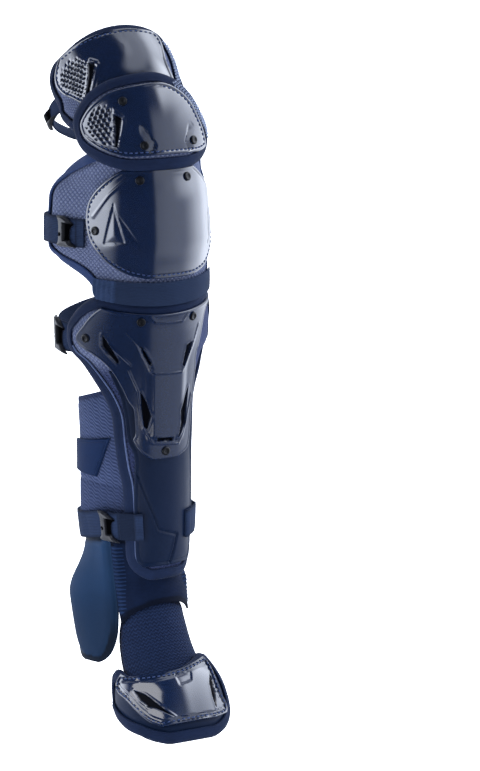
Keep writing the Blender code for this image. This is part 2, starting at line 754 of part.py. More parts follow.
def shin_plate_outer(angle, along):
    return shin_plate_inner(angle, along) + PLATE_THICKNESS + shin_relief(angle, along)


def calf_outer(angle, along):
    return calf_lift(angle, along) + WING_THICKNESS


def patch_inner(angle, along):
    return calf_outer(angle, along) + LAYER_GAP


def patch_outer(angle, along):
    return patch_inner(angle, along) + PATCH_THICKNESS


def ankle_outer(angle, along):
    return ankle_lift(angle, along) + WING_THICKNESS


def cuff_outer(angle, along):
    return cuff_lift(angle, along) + CUFF_THICKNESS


def instep_outer(angle, along):
    return instep_lift(angle, along) + INSTEP_THICKNESS


def toe_pad_outer(angle, along):
    return TOE_PAD_THICKNESS


def toe_plate_inner(angle, along):
    """The plate clears the edge tape, which runs under its top edge."""
    return TOE_PAD_THICKNESS + BINDING_PROUD + LAYER_GAP


def toe_plate_outer(angle, along):
    return toe_plate_inner(angle, along) + PLATE_THICKNESS


def under_face(face, angle, along):
    """Height of a strap that runs inside a pad."""
    return face(angle, along) - STRAP_THICKNESS - LAYER_GAP


def thigh_strap_seat(angle, along, height):
    """Both ends run inside the thigh pad."""
    if angle > -99.0 or angle < -322.0:
        turn = angle if angle > -180.0 else angle + 360.0
        return min(height, under_face(thigh_lift, turn, along))
    return height


def knee_strap_seat(angle, along, height):
    """Both ends lie on the knee pad's side wings and over their edge tape."""
    if angle > -116.0 or angle < -266.0:
        turn = angle if angle > -180.0 else angle + 360.0
        return max(height, knee_pad_outer(turn, along) + BINDING_PROUD + STRAP_SEAT_GAP)
    return height


def shin_strap_seat(angle, along, height):
    """Both ends run inside the shin pad's lobes."""
    if angle > -90.0 or angle < -274.0:
        turn = angle if angle > -180.0 else angle + 360.0
        return min(height, under_face(shin_pad_inner, turn, along))
    return height


def calf_strap_seat(angle, along, height):
    """From the panel over the pad's edge tape and the calf flap, and on the pad's right rim."""
    if angle > -45.0 or angle < -299.0:
        return max(height, panel_outer(0.0, along) + LAYER_GAP)
    if angle > -119.0:
        return max(height, calf_outer(angle, along) + LAYER_GAP)
    return height


def toe_strap_seat(angle, along, height):
    """Both ends run inside the toe pad."""
    if angle > -114.0 or angle < -298.0:
        return min(height, under_face(no_relief, angle, along))
    return height


def strap_face(table, seat):
    """The face that a buckle sits on, over the strap."""
    def height(angle, along):
        rows = sorted(table, key=lambda row: -row[0])
        lift = rows[0][2]
        for upper, lower in zip(rows, rows[1:]):
            if lower[0] <= angle <= upper[0]:
                share = (upper[0] - angle) / (upper[0] - lower[0])
                lift = upper[2] + (lower[2] - upper[2]) * share
        return seat(angle, along, lift * STRAP_LIFT) + STRAP_THICKNESS + LAYER_GAP
    return height


STRAP_FACES = {
    "thigh_strap": strap_face(THIGH_STRAP, thigh_strap_seat),
    "knee_strap": strap_face(KNEE_STRAP, knee_strap_seat),
    "shin_strap": strap_face(SHIN_STRAP, shin_strap_seat),
    "calf_strap": strap_face(CALF_STRAP, calf_strap_seat),
}

RIVET_SEATS = {
    "upper_knee_shell": cap_plate_outer,
    "knee_shell": knee_plate_outer,
    "shin_shell": shin_plate_outer,
}


def build_thigh():
    grid = build_patch("thigh_pad", THIGH_PAD, 10, thigh_lift, thigh_pad_outer, SLATE, 0.8)
    build_binding("thigh_binding", grid, thigh_lift, thigh_pad_outer, NAVY)
    build_patch("thigh_shell", THIGH_SHELL, 11, thigh_plate_inner, thigh_plate_outer, NAVY, 0.3)
    build_strap("thigh_strap", THIGH_STRAP, THIGH_STRAP_WIDTH, thigh_strap_seat, SLATE)


def build_upper_knee():
    grid = build_patch("upper_knee_pad", UPPER_KNEE_PAD, 10, cap_pad_inner, cap_pad_outer, SLATE, 0.8)
    build_binding("upper_knee_binding", grid, cap_pad_inner, cap_pad_outer, NAVY)
    build_patch("upper_knee_shell", UPPER_KNEE_SHELL, 10, cap_plate_inner, cap_plate_outer, NAVY, 0.3)


def build_knee():
    grid = build_patch("knee_pad", KNEE_PAD, 12, knee_pad_inner, knee_pad_outer, SLATE, 0.8)
    build_binding("knee_binding", grid, knee_pad_inner, knee_pad_outer, NAVY)
    build_patch("knee_shell", KNEE_SHELL, 12, knee_plate_inner, knee_plate_outer, NAVY, 0.25)
    build_patch("knee_band", KNEE_BAND, 12, band_inner, band_outer, SLATE, 0.8)
    build_strap("knee_strap", KNEE_STRAP, STRAP_WIDTH, knee_strap_seat, SLATE)


def build_shin():
    grid = build_patch("shin_pad", SHIN_PAD, 10, shin_pad_inner, shin_pad_outer, SLATE, 0.8)
    build_binding("shin_binding", grid, shin_pad_inner, shin_pad_outer, NAVY)
    build_patch("shin_panel", SHIN_PANEL, 8, panel_inner, panel_outer, NAVY, 0.6)
    build_patch("shin_shell", SHIN_SHELL, 10, shin_plate_inner, shin_plate_outer, NAVY, 0.3)
    build_strap("shin_strap", SHIN_STRAP, STRAP_WIDTH, shin_strap_seat, SLATE)


def build_calf_and_ankle():
    build_patch("calf_wing", CALF_WING, 8, calf_lift, calf_outer, SLATE, 0.8)
    build_patch("calf_patch", CALF_PATCH, 6, patch_inner, patch_outer, NAVY, 0.6, steps=2)
    build_strap("calf_strap", CALF_STRAP, STRAP_WIDTH, calf_strap_seat, SLATE)
    build_patch("ankle_wing", ANKLE_WING, 6, ankle_lift, ankle_outer, SLATE, 0.5)
    build_patch("ankle_cuff", ANKLE_CUFF, 11, cuff_lift, cuff_outer, NAVY, 0.8)
    build_patch("instep", INSTEP, 8, instep_lift, instep_outer, NAVY, 0.8)


def build_toe():
    grid = build_patch("toe_pad", TOE_PAD, 12, no_relief, toe_pad_outer, SLATE, 0.6)
    build_binding("toe_binding", grid, no_relief, toe_pad_outer, NAVY)
    build_patch("toe_shell", TOE_SHELL, 12, toe_plate_inner, toe_plate_outer, NAVY, 0.3)
    build_strap("toe_strap", TOE_STRAP, TOE_STRAP_WIDTH, toe_strap_seat, SLATE)


def build_hardware():
    """Buckles sit on their straps, rivets on their plates."""
    for name, seat, angle, along, width in BUCKLES:
        build_buckle(name, STRAP_FACES[seat], angle, along, width)
    for name, angle, along, seat in RIVETS:
        build_rivet(name, RIVET_SEATS[seat], angle, along)


clear_scene()
build_thigh()
build_upper_knee()
build_knee()
build_shin()
build_calf_and_ankle()
build_toe()
build_hardware()
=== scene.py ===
"""A baseball catcher's leg guard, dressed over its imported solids."""
import math

import bpy
import numpy as np
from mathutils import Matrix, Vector, kdtree


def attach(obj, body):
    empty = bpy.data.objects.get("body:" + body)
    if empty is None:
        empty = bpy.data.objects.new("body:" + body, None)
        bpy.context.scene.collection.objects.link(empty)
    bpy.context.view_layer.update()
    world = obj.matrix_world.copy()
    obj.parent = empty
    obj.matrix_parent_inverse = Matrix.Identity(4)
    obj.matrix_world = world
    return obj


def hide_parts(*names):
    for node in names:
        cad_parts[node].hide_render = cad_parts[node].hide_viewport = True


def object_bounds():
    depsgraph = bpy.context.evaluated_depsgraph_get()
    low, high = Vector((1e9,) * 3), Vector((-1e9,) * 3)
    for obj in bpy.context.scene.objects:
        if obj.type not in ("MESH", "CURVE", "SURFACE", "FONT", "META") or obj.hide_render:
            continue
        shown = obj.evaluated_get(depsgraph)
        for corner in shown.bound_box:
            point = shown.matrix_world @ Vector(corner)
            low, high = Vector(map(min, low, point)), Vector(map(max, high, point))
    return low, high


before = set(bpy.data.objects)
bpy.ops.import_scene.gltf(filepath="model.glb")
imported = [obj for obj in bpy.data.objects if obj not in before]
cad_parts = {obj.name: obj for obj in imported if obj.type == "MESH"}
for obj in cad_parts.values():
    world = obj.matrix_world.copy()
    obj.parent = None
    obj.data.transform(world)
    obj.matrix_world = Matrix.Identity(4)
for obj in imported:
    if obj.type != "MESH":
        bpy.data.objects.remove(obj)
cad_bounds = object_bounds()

# Thigh backing.
# A curved slab of foam covered in a slate mesh knit, with a smooth lining against the leg.
# The edges are pressed thin, so that the edge tape can be sewn round them.
MM = 0.001
KNEE_TO_TOP = 184.0
KNEE_TO_TOE = 520.0
TOE_REACH = 130.0
LEG_HALF_WIDTH = 62.0
LEG_HALF_DEPTH = 70.0
PAD_THICKNESS = 9.0
PLATE_THICKNESS = 3.0
BINDING_PROUD = 1.0
CAP_PACKING = PLATE_THICKNESS - BINDING_PROUD

# The leg's sections. Columns: forward (share of TOE_REACH), rise (share of KNEE_TO_TOP above the
# knee, of KNEE_TO_TOE below it), half width and half depth (shares of the leg's).
LEG_SECTIONS = [
    (-0.185, 1.000, 0.87, 0.86), (0.077, 0.875, 0.90, 0.86), (0.262, 0.750, 0.90, 0.89),
    (0.385, 0.598, 0.89, 0.91), (0.454, 0.424, 0.87, 0.94), (0.485, 0.245, 0.90, 0.97),
    (0.508, 0.000, 0.94, 1.00), (0.523, -0.077, 0.97, 1.00), (0.508, -0.144, 1.00, 0.97),
    (0.462, -0.212, 1.00, 0.94), (0.423, -0.308, 0.97, 0.89), (0.400, -0.404, 0.90, 0.83),
    (0.392, -0.500, 0.81, 0.79), (0.400, -0.596, 0.74, 0.76), (0.415, -0.692, 0.68, 0.71),
    (0.477, -0.779, 0.65, 0.66), (0.615, -0.846, 0.71, 0.60), (0.792, -0.896, 0.83, 0.54),
    (0.938, -0.962, 0.88, 0.51), (1.000, -1.000, 0.88, 0.51),
]
LEG = np.array([
    (-forward * TOE_REACH, rise * (KNEE_TO_TOP if rise > 0.0 else KNEE_TO_TOE), width * LEG_HALF_WIDTH,
     depth * LEG_HALF_DEPTH)
    for forward, rise, width, depth in LEG_SECTIONS
])
STATIONS = np.concatenate(((0.0,), np.cumsum(np.hypot(*np.diff(LEG[:, :2], axis=0).T))))
FRONT_LINE = STATIONS[-1]
MM_PER_PERCENT = FRONT_LINE * 0.01
MM_PER_DEGREE = 1.30       # arc over one degree at the plates

# Sections of the pad. Columns: along (percent of the front line), left and right edge (degrees),
# slant and sag (percent of the front line); a row of three has neither.
THIGH_PAD = [
    (1.9, -80, 20, 1.0, 0.1), (2.8, -90, 27, 0.7, 0.0), (4.5, -92, 29, 0.3, 0.0), (6.6, -90, 30),
    (8.6, -92, 29), (10.8, -90, 27), (12.5, -86, 25), (13.6, -82, 24), (15.3, -72, 22), (16.8, -60, 20),
]
THIGH_FLARE = 6.0
# The pressed edge of a pad: where it starts and ends, off the rim, and its depth in the lining (mm).
PINCH_FROM = 9.0
PINCH_TO = 2.0
LINING_PINCH = 0.5
SLATE = (0.092, 0.110, 0.178)
SLATE_SHADOW = (0.014, 0.021, 0.060)
LINING = (0.010, 0.014, 0.034)


def smooth(value, start, end):
    """A soft step from 0 at start to 1 at end."""
    share = np.clip((value - start) / (end - start), 0.0, 1.0)
    return share * share * (3.0 - 2.0 * share)


def curve_rows(rows, place):
    """Read a table at fractional row numbers, smoothly."""
    rows = np.asarray(rows, float)
    place = np.asarray(place, float)
    last = len(rows) - 1
    first = np.clip(place.astype(int), 0, last - 1)
    share = (place - first)[..., None]
    start = rows[first]
    end = rows[first + 1]
    pull_in = (end - rows[np.maximum(first - 1, 0)]) * 0.5
    pull_out = (rows[np.minimum(first + 2, last)] - start) * 0.5
    cubic = 2.0 * start - 2.0 * end + pull_in + pull_out
    square = -3.0 * start + 3.0 * end - 2.0 * pull_in - pull_out
    return ((cubic * share + square) * share + pull_in) * share + start


def leg_section(along):
    length = np.clip(along * MM_PER_PERCENT, 0.0, FRONT_LINE)
    return curve_rows(LEG, np.interp(length, STATIONS, np.arange(len(LEG))))


def leg_point(angle, along, height):
    """Points at angles round the leg, a way along it and a height off it, in metres."""
    here = leg_section(along)
    step = leg_section(along + 0.2) - leg_section(along - 0.2)
    run = np.hypot(step[..., 0], step[..., 1])
    turn = np.radians(angle)
    inward = (here[..., 3] + height) * np.cos(turn) - here[..., 3]
    side = (here[..., 2] + height) * np.sin(turn)
    return np.stack((side, here[..., 0] + step[..., 1] / run * inward,
                     here[..., 1] - step[..., 0] / run * inward), -1) * MM


def edged_steps(length, pitch, edge=(0.0, 0.35, 0.9, 1.7)):
    """Shares from 0 to 1 for points about pitch mm apart, closer together at both ends."""
    middle = np.linspace(edge[-1], length - edge[-1], max(3, int(round(length / pitch))))
    return np.concatenate((edge[:-1], middle, [length - e for e in edge[-2::-1]])) / length


def patch_grid(table, pitch):
    """Angle and along on a fine grid over a table of sections."""
    rows = np.array([(*row, 0.0, 0.0)[:5] for row in table], float)
    index = np.linspace(0, len(rows) - 1, 60 * len(rows))
    curve = curve_rows(rows, index)
    tall = (rows[-1, 0] - rows[0, 0]) * MM_PER_PERCENT
    wide = (curve[:, 2] - curve[:, 1]).max() * MM_PER_DEGREE
    even = rows[0, 0] + edged_steps(tall, pitch) * (rows[-1, 0] - rows[0, 0])
    section = curve_rows(rows, np.interp(even, curve[:, 0], index))
    share = edged_steps(wide, pitch)[None, :]
    angle = section[:, 1:2] + (section[:, 2:3] - section[:, 1:2]) * share
    place = 2.0 * share - 1.0
    return angle, even[:, None] + section[:, 3:4] * place + section[:, 4:5] * place * place


def outline_of(grid):
    """A grid's rim in order, without repeats."""
    return np.concatenate((grid[0], grid[1:, -1], grid[-1, -2::-1], grid[-2:0:-1, 0]))


def rim_distance(angle, along, height):
    """How far each point of a grid lies from its rim, in mm."""
    points = leg_point(angle, along, height)
    rim = outline_of(points)
    after = np.roll(rim, -1, axis=0)
    rim = np.concatenate([rim + (after - rim) * share for share in (0.0, 0.25, 0.5, 0.75)])
    tree = kdtree.KDTree(len(rim))
    for number, point in enumerate(rim):
        tree.insert(point, number)
    tree.balance()
    flat = points.reshape(-1, 3)
    found = np.array([tree.find(point)[2] for point in flat])
    return found.reshape(angle.shape) / MM


def mesh_piece(name, points, faces, material, flat=None, pit=None, second=None, second_faces=None,
               sharp=38.0):
    """A mesh object with its material, its flat coordinates in mm and its pits for the shader, dark places
    that are painted shade on some pieces and darker cloth on others.
    """
    mesh = bpy.data.meshes.new(name)
    mesh.from_pydata([tuple(p) for p in points], [], [tuple(int(i) for i in f) for f in faces])
    if flat is not None:
        layer = mesh.attributes.new("flat_mm", "FLOAT_VECTOR", "POINT")
        layer.data.foreach_set("vector", np.asarray(flat, np.float32).ravel())
    if pit is not None:
        layer = mesh.attributes.new("pit", "FLOAT", "POINT")
        layer.data.foreach_set("value", np.asarray(pit, np.float32).ravel())
    mesh.materials.append(material)
    if second is not None:
        mesh.materials.append(second)
        mesh.polygons.foreach_set("material_index", np.asarray(second_faces, np.int32))
    mesh.shade_smooth()
    mesh.set_sharp_from_angle(angle=math.radians(sharp))
    piece = bpy.data.objects.new(name, mesh)
    bpy.context.scene.collection.objects.link(piece)
    return piece


def wall(name, low, high, material, flat, pit=None, lining=None):
    """A closed wall between two grids of points. flat is the grid's (around, along) in mm."""
    rows, columns = low.shape[:2]
    count = rows * columns
    number = np.arange(count).reshape(rows, columns)
    top = np.stack((number[:-1, :-1], number[1:, :-1], number[1:, 1:], number[:-1, 1:]), -1).reshape(-1, 4)
    under = np.stack((number[:-1, :-1], number[:-1, 1:], number[1:, 1:], number[1:, :-1]), -1)
    under = under.reshape(-1, 4) + count
    rim = outline_of(number)
    after = np.roll(rim, -1)
    edge = np.stack((rim, after, after + count, rim + count), -1)
    faces = np.concatenate((top, edge, under))
    points = np.concatenate((high.reshape(-1, 3), low.reshape(-1, 3)))
    sheet = np.stack((flat[0], flat[1], np.zeros_like(flat[0])), -1).reshape(-1, 3)
    pits = np.zeros(2 * count)
    if pit is not None:
        pits[:count] = pit.ravel()
    lined = np.zeros(len(faces), int)
    lined[len(top) + len(edge):] = 1
    return mesh_piece(name, points, faces, material, np.concatenate((sheet, sheet)), pits,
                      lining, lined if lining is not None else None)


def pad(name, table, inner, outer, material, lining, pitch=1.6, pinch=2.2, shape=None, channels=None,
        shade=None):
    """A foam wall whose edge is pressed thin. shape and channels add relief outside and inside.

    shade gives darker places from 0 to 1: painted shade on some pieces, darker cloth on others.
    """
    angle, along = patch_grid(table, pitch)
    edge = rim_distance(angle, along, PAD_THICKNESS)
    high = outer(angle, along) - pinch * smooth(edge, PINCH_FROM, PINCH_TO)
    low = inner(angle, along) + LINING_PINCH * smooth(edge, PINCH_FROM - 2.0, PINCH_TO - 1.0)
    if shape is not None:
        high = high + shape(angle, along, edge)
    if channels is not None:
        low = low + channels(angle, along, edge)
    flat = (angle * MM_PER_DEGREE, along * MM_PER_PERCENT)
    dark = shade(angle, along, edge) if shade is not None else None
    return wall(name, leg_point(angle, along, low), leg_point(angle, along, high), material, flat, dark,
                lining)


def place(piece, slot, *nodes):
    """The piece rides on the one body and stands for its solids; slot is not used."""
    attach(piece, "root")
    if nodes:
        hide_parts(*nodes)


def tinted(colour, factor):
    """A colour made lighter or darker."""
    return tuple(c * factor for c in colour)


def add(tree, kind, feeds=None, **settings):
    """A shader node. feeds gives its inputs, as sockets or values."""
    made = tree.nodes.new(kind)
    for key, value in settings.items():
        setattr(made, key, value)
    for key, value in (feeds or {}).items():
        if isinstance(value, bpy.types.NodeSocket):
            tree.links.new(value, made.inputs[key])
        else:
            made.inputs[key].default_value = value
    return made


def new_finish(name, colour, roughness, **sockets):
    """A material with its tree and shader."""
    material = bpy.data.materials.new(name)
    material.use_nodes = True
    tree = material.node_tree
    shader = tree.nodes["Principled BSDF"]
    shader.inputs["Base Color"].default_value = (*colour, 1.0)
    shader.inputs["Roughness"].default_value = roughness
    for key, value in sockets.items():
        shader.inputs[key.replace("_", " ")].default_value = value
    return material, tree, shader


def calc(tree, operation, first, second=0.0, third=0.0):
    return add(tree, "ShaderNodeMath", {0: first, 1: second, 2: third}, operation=operation).outputs[0]


def flat_place(tree):
    """The flat coordinates in mm: around, along."""
    source = add(tree, "ShaderNodeAttribute", attribute_name="flat_mm")
    split = add(tree, "ShaderNodeSeparateXYZ", {0: source.outputs["Vector"]})
    return source.outputs["Vector"], split.outputs[0], split.outputs[1]


def pit_place(tree):
    """The piece's dark places, from 0 to 1: painted shade on some pieces, darker cloth on others."""
    return add(tree, "ShaderNodeAttribute", attribute_name="pit").outputs["Fac"]


def ripple(tree, value, pitch, shift=0.0):
    """A wave from 0 to 1 with its crests pitch mm apart."""
    turn = calc(tree, "MULTIPLY_ADD", value, math.tau / pitch, shift)
    return calc(tree, "MULTIPLY_ADD", calc(tree, "SINE", turn), 0.5, 0.5)


def cloud(tree, vector, scale, detail=3.0, rough=0.5):
    return add(tree, "ShaderNodeTexNoise", {"Vector": vector, "Scale": scale, "Detail": detail,
                                            "Roughness": rough}).outputs[0]


def mix_colour(tree, factor, first, second):
    def full(colour):
        return colour if isinstance(colour, bpy.types.NodeSocket) else (*colour, 1.0)
    mixed = add(tree, "ShaderNodeMix", {0: factor, 6: full(first), 7: full(second)}, data_type="RGBA")
    return mixed.outputs[2]


def paint(tree, shader, body, dark):
    """A colour, with the dark places of the piece painted in: painted shade on some pieces, darker cloth on
    others.
    """
    tree.links.new(mix_colour(tree, pit_place(tree), body, dark), shader.inputs["Base Color"])


def bump_in(tree, shader, height, depth_mm):
    """Relief for the shader, with its depth in mm."""
    bump = add(tree, "ShaderNodeBump", {"Height": height, "Distance": depth_mm * MM, "Strength": 1.0})
    tree.links.new(bump.outputs[0], shader.inputs["Normal"])


def knit_finish(name, light, dark, pitch, depth):
    """A spacer mesh: rounded cells in staggered rows, with painted shade in the gaps between them."""
    material, tree, shader = new_finish(name, light, 0.82, Specular_IOR_Level=0.06, Sheen_Weight=0.02,
                                        Sheen_Roughness=0.5)
    vector, around, along = flat_place(tree)
    bend = calc(tree, "MULTIPLY_ADD", cloud(tree, vector, 0.05), 1.6, -0.8)
    rise = calc(tree, "ADD", calc(tree, "ADD", around, along), bend)
    fall = calc(tree, "ADD", calc(tree, "SUBTRACT", around, along), bend)
    cells = calc(tree, "MULTIPLY", ripple(tree, rise, pitch), ripple(tree, fall, pitch))
    yarn = calc(tree, "MULTIPLY", ripple(tree, around, 0.9), ripple(tree, along, 0.7))
    tint = calc(tree, "MULTIPLY_ADD", cloud(tree, vector, 0.03, 4.0), 0.5, 0.05)
    share = calc(tree, "ADD", calc(tree, "MULTIPLY", calc(tree, "POWER", cells, 0.55), 0.95), tint)
    cover = add(tree, "ShaderNodeClamp", {0: calc(tree, "MULTIPLY_ADD", yarn, 0.12, share)}).outputs[0]
    body = mix_colour(tree, cover, dark, light)
    paint(tree, shader, body, dark)
    bump_in(tree, shader, calc(tree, "MULTIPLY_ADD", yarn, 0.18, cells), depth)
    return material


def lining_finish(name, colour):
    """A brushed lining with a fine knit and darker worn places."""
    material, tree, shader = new_finish(name, colour, 0.9, Specular_IOR_Level=0.04, Sheen_Weight=0.01,
                                        Sheen_Roughness=0.6)
    vector, around, along = flat_place(tree)
    loops = calc(tree, "MULTIPLY", ripple(tree, around, 1.4), ripple(tree, along, 1.1))
    worn = cloud(tree, vector, 0.04, 5.0, 0.6)
    share = calc(tree, "MULTIPLY_ADD", loops, 0.5, calc(tree, "MULTIPLY", worn, 0.5))
    tree.links.new(mix_colour(tree, share, colour, tinted(colour, 2.6)), shader.inputs["Base Color"])
    bump_in(tree, shader, loops, 0.25)
    return material


wing_knit = knit_finish("slate mesh knit", SLATE, SLATE_SHADOW, 5.2, 0.9)
lining = lining_finish("dark knit lining", LINING)


def thigh_lift(angle, along):
    return THIGH_FLARE * smooth(-angle, 60.0, 92.0) * smooth(along, 18.0, 12.0)


def thigh_pad_outer(angle, along):
    return thigh_lift(angle, along) + PAD_THICKNESS + CAP_PACKING * smooth(along, 12.6, 13.6)


def lines_every(along, start, pitch):
    """Distance in mm to the nearest of a set of lines across the leg."""
    return np.abs((along - start) % pitch - pitch * 0.5) * MM_PER_PERCENT


def sewn_channel(distance, edge, depth, width=3.0, fade=12.0):
    """How deep a sewn channel is, by the distance to its line and to the rim."""
    return depth * smooth(distance, width, 0.6) * smooth(edge, 6.0, fade)


def thigh_channels(angle, along, edge):
    """Sewn channels across the lining."""
    return sewn_channel(lines_every(along, 4.0, 4.2), edge, 1.4)


thigh_backing = pad("thigh_backing", THIGH_PAD, thigh_lift, thigh_pad_outer, wing_knit, lining,
                    channels=thigh_channels)
place(thigh_backing, "wing_fabric", "thigh_pad")

# Edge tape of the thigh backing.
# A navy woven tape, folded over the pressed edge and sewn through with one row of stitches.
NAVY_CLOTH = (0.0026, 0.0056, 0.0170)
# The tape's cross-section. Columns: out from the pad's rim (mm), level (share of the pad's
# thickness), lift (mm).
TAPE_SECTION = [
    (-4.2, 1.0, -0.6), (-4.2, 1.0, 0.5), (-3.2, 1.0, 1.3), (-2.1, 1.0, 0.5), (1.2, 1.0, 0.9),
    (4.6, 0.93, 0.2), (6.8, 0.70, 0.0), (7.6, 0.42, 0.0), (6.6, 0.16, 0.0), (3.8, 0.0, 0.2),
    (-0.6, 0.0, 0.0), (-3.4, 0.0, 0.0), (-3.4, 0.0, 0.8), (0.0, 0.2, 0.0), (0.0, 0.8, 0.0),
]


def unit(vectors):
    return vectors / np.linalg.norm(vectors, axis=-1, keepdims=True)


def face_frame(face, angle, along):
    """Points on a face with their directions: round the leg, down the leg and outward."""
    def at(a, s):
        return leg_point(a, s, face(a, s))
    around = unit(at(angle + 1.5, along) - at(angle - 1.5, along))
    slope = at(angle, along + 0.25) - at(angle, along - 0.25)
    outward = unit(np.cross(slope, around))
    return at(angle, along), around, unit(np.cross(around, outward)), outward


def rim_loop(angle, along, step=2.0, soften=7):
    """A patch's rim as even steps in angle and along, with its corners rounded."""
    loop = np.stack((outline_of(angle) * MM_PER_DEGREE, outline_of(along) * MM_PER_PERCENT), -1)
    closed = np.concatenate((loop, loop[:1]))
    run = np.concatenate(((0.0,), np.cumsum(np.hypot(*np.diff(closed, axis=0).T))))
    count = int(run[-1] / step)
    even = np.linspace(0.0, run[-1], count, endpoint=False)
    path = np.stack((np.interp(even, run, closed[:, 0]), np.interp(even, run, closed[:, 1])), -1)
    weight = np.hanning(soften + 2)[1:-1]
    weight = weight / weight.sum()
    half = soften // 2
    path = sum(w * np.roll(path, k - half, axis=0) for k, w in enumerate(weight))
    return path[:, 0] / MM_PER_DEGREE, path[:, 1] / MM_PER_PERCENT


def rim_frames(angle, along, inner, outer):
    """Along a closed rim: inner and outer points, the way off the rim and the way outward."""
    low, _, _, outward = face_frame(inner, angle, along)
    high = leg_point(angle, along, outer(angle, along))
    ahead = np.roll(low, -1, axis=0) - np.roll(low, 1, axis=0)
    return low, high, unit(np.cross(outward, ahead)), outward


def ring_sweep(name, rings, material, flat, closed=True, sharp=50.0):
    """Closed sections joined along a path. rings is (steps, points, 3)."""
    steps, size = rings.shape[:2]
    number = np.arange(steps * size).reshape(steps, size)
    if closed:
        here, there = number, np.roll(number, -1, axis=0)
    else:
        here, there = number[:-1], number[1:]
    faces = np.stack((here, np.roll(here, -1, axis=1), np.roll(there, -1, axis=1), there), -1).reshape(-1, 4)
    faces = [tuple(f) for f in faces]
    if not closed:
        faces += [tuple(number[0][::-1]), tuple(number[-1])]
    return mesh_piece(name, rings.reshape(-1, 3), faces, material, flat, sharp=sharp)


def edge_tape(name, table, inner, outer, material, pitch=2.0):
    """Tape folded over a pad's rim."""
    angle, along = rim_loop(*patch_grid(table, 1.6), step=pitch)
    low, high, side, outward = rim_frames(angle, along, inner, outer)
    section = np.array(TAPE_SECTION)
    out, level, lift = (section[None, :, column:column + 1] for column in range(3))
    rings = low[:, None, :] + (high - low)[:, None, :] * level
    rings = rings + (side[:, None, :] * out + outward[:, None, :] * lift) * MM
    run = np.arange(len(angle)) * pitch
    flat = np.zeros(rings.shape)
    flat[..., 0] = run[:, None]
    flat[..., 1] = np.cumsum(np.hypot(*np.diff(section[:, [0, 2]], axis=0, prepend=section[:1, [0, 2]]).T))
    return ring_sweep(name, rings, material, flat.reshape(-1, 3))


def tape_finish(name, colour, pitch=1.1):
    """A fine twill tape."""
    material, tree, shader = new_finish(name, colour, 0.72, Specular_IOR_Level=0.06, Sheen_Weight=0.04,
                                        Sheen_Roughness=0.3)
    vector, around, along = flat_place(tree)
    twill = ripple(tree, calc(tree, "ADD", around, along), pitch)
    cross = ripple(tree, calc(tree, "SUBTRACT", around, along), pitch * 1.7)
    thread = calc(tree, "MULTIPLY", twill, cross)
    fade = cloud(tree, vector, 0.06, 4.0)
    share = calc(tree, "MULTIPLY_ADD", thread, 0.45, calc(tree, "MULTIPLY", fade, 0.55))
    tree.links.new(mix_colour(tree, share, colour, tinted(colour, 2.6)), shader.inputs["Base Color"])
    bump_in(tree, shader, thread, 0.18)
    return material


navy_tape = tape_finish("navy edge tape", NAVY_CLOTH)
thigh_tape = edge_tape("thigh_edge_tape", THIGH_PAD, thigh_lift, thigh_pad_outer, navy_tape)
place(thigh_tape, "edge_tape", "thigh_binding")

# Thigh plate.
# A glossy moulded plate sewn on along its top, with a field of dimples and a slanted air slot
# at the outer side of the leg.
THIGH_SHELL = [
    (2.5, -70, 17, 1.2, -0.2), (3.3, -80, 20, 0.7, 0.0), (4.7, -83, 21, 0.4, 0.0),
    (6.6, -80, 19, 0.1, 0.0), (8.6, -74, 17), (10.8, -67, 19), (12.1, -58, 20),
]
# Corners, each an angle (degrees) and a place along (percent).
THIGH_SLOT = [(-48.0, 5.6), (-42.6, 6.1), (-57.6, 10.4), (-60.0, 10.2)]
THIGH_SLOT_SILL = [(-45.5, 4.9), (-39.0, 6.2), (-41.5, 6.9), (-48.5, 5.7)]
THIGH_BAR = [(-40.6, 6.6), (-55.6, 10.6)]
THIGH_CREASE = [(-36.0, 6.4), (-50.0, 10.2)]
THIGH_DIMPLES = [
    (-64, 2.6), (-52, 3.6), (-48, 5.4), (-56, 8.6), (-62, 10.6), (-72, 9.6), (-83, 6.0), (-77, 3.4),
]
SHELL_NAVY = (0.0022, 0.0062, 0.0205)
LAYER_GAP = 0.8
STITCH_INSET = 3.6
DIMPLE_PITCH = 5.6
DIMPLE_RADIUS = 2.5
DIMPLE_DEPTH = 1.5
DIMPLE_SHADE = 0.85
SLOT_DEPTH = 2.3
SILL_HEIGHT = 1.0
BAR_HEIGHT = 0.9
CREASE_HEIGHT = 0.5
BEAD_HEIGHT = 0.35
GROOVE_DEPTH = 0.45
THREAD_NAVY = (0.016, 0.026, 0.064)
STITCH_PITCH = 5.2
STITCH_LENGTH = 3.2
STITCH_RADIUS = 0.72


def flat_mm(angle, along):
    return angle * MM_PER_DEGREE, along * MM_PER_PERCENT


def line_distance(angle, along, corners, closed=False):
    """Distance in mm to a line of corners."""
    x, y = flat_mm(angle, along)
    nodes = [flat_mm(a, s) for a, s in corners]
    if closed:
        nodes = nodes + nodes[:1]
    best = np.full(x.shape, 1e6)
    for (x0, y0), (x1, y1) in zip(nodes, nodes[1:]):
        dx, dy = x1 - x0, y1 - y0
        share = np.clip(((x - x0) * dx + (y - y0) * dy) / (dx * dx + dy * dy), 0.0, 1.0)
        best = np.minimum(best, np.hypot(x - x0 - share * dx, y - y0 - share * dy))
    return best


def area_depth(angle, along, corners):
    """How far inside a closed outline each point lies, in mm; negative outside."""
    x, y = flat_mm(angle, along)
    nodes = [flat_mm(a, s) for a, s in corners]
    inside = np.zeros(x.shape, bool)
    for (x0, y0), (x1, y1) in zip(nodes, nodes[1:] + nodes[:1]):
        crosses = (y0 > y) != (y1 > y)
        with np.errstate(divide="ignore", invalid="ignore"):
            inside ^= crosses & (x < (x1 - x0) * (y - y0) / (y1 - y0 if y1 != y0 else 1e-9) + x0)
    distance = line_distance(angle, along, corners, closed=True)
    return np.where(inside, distance, -distance)


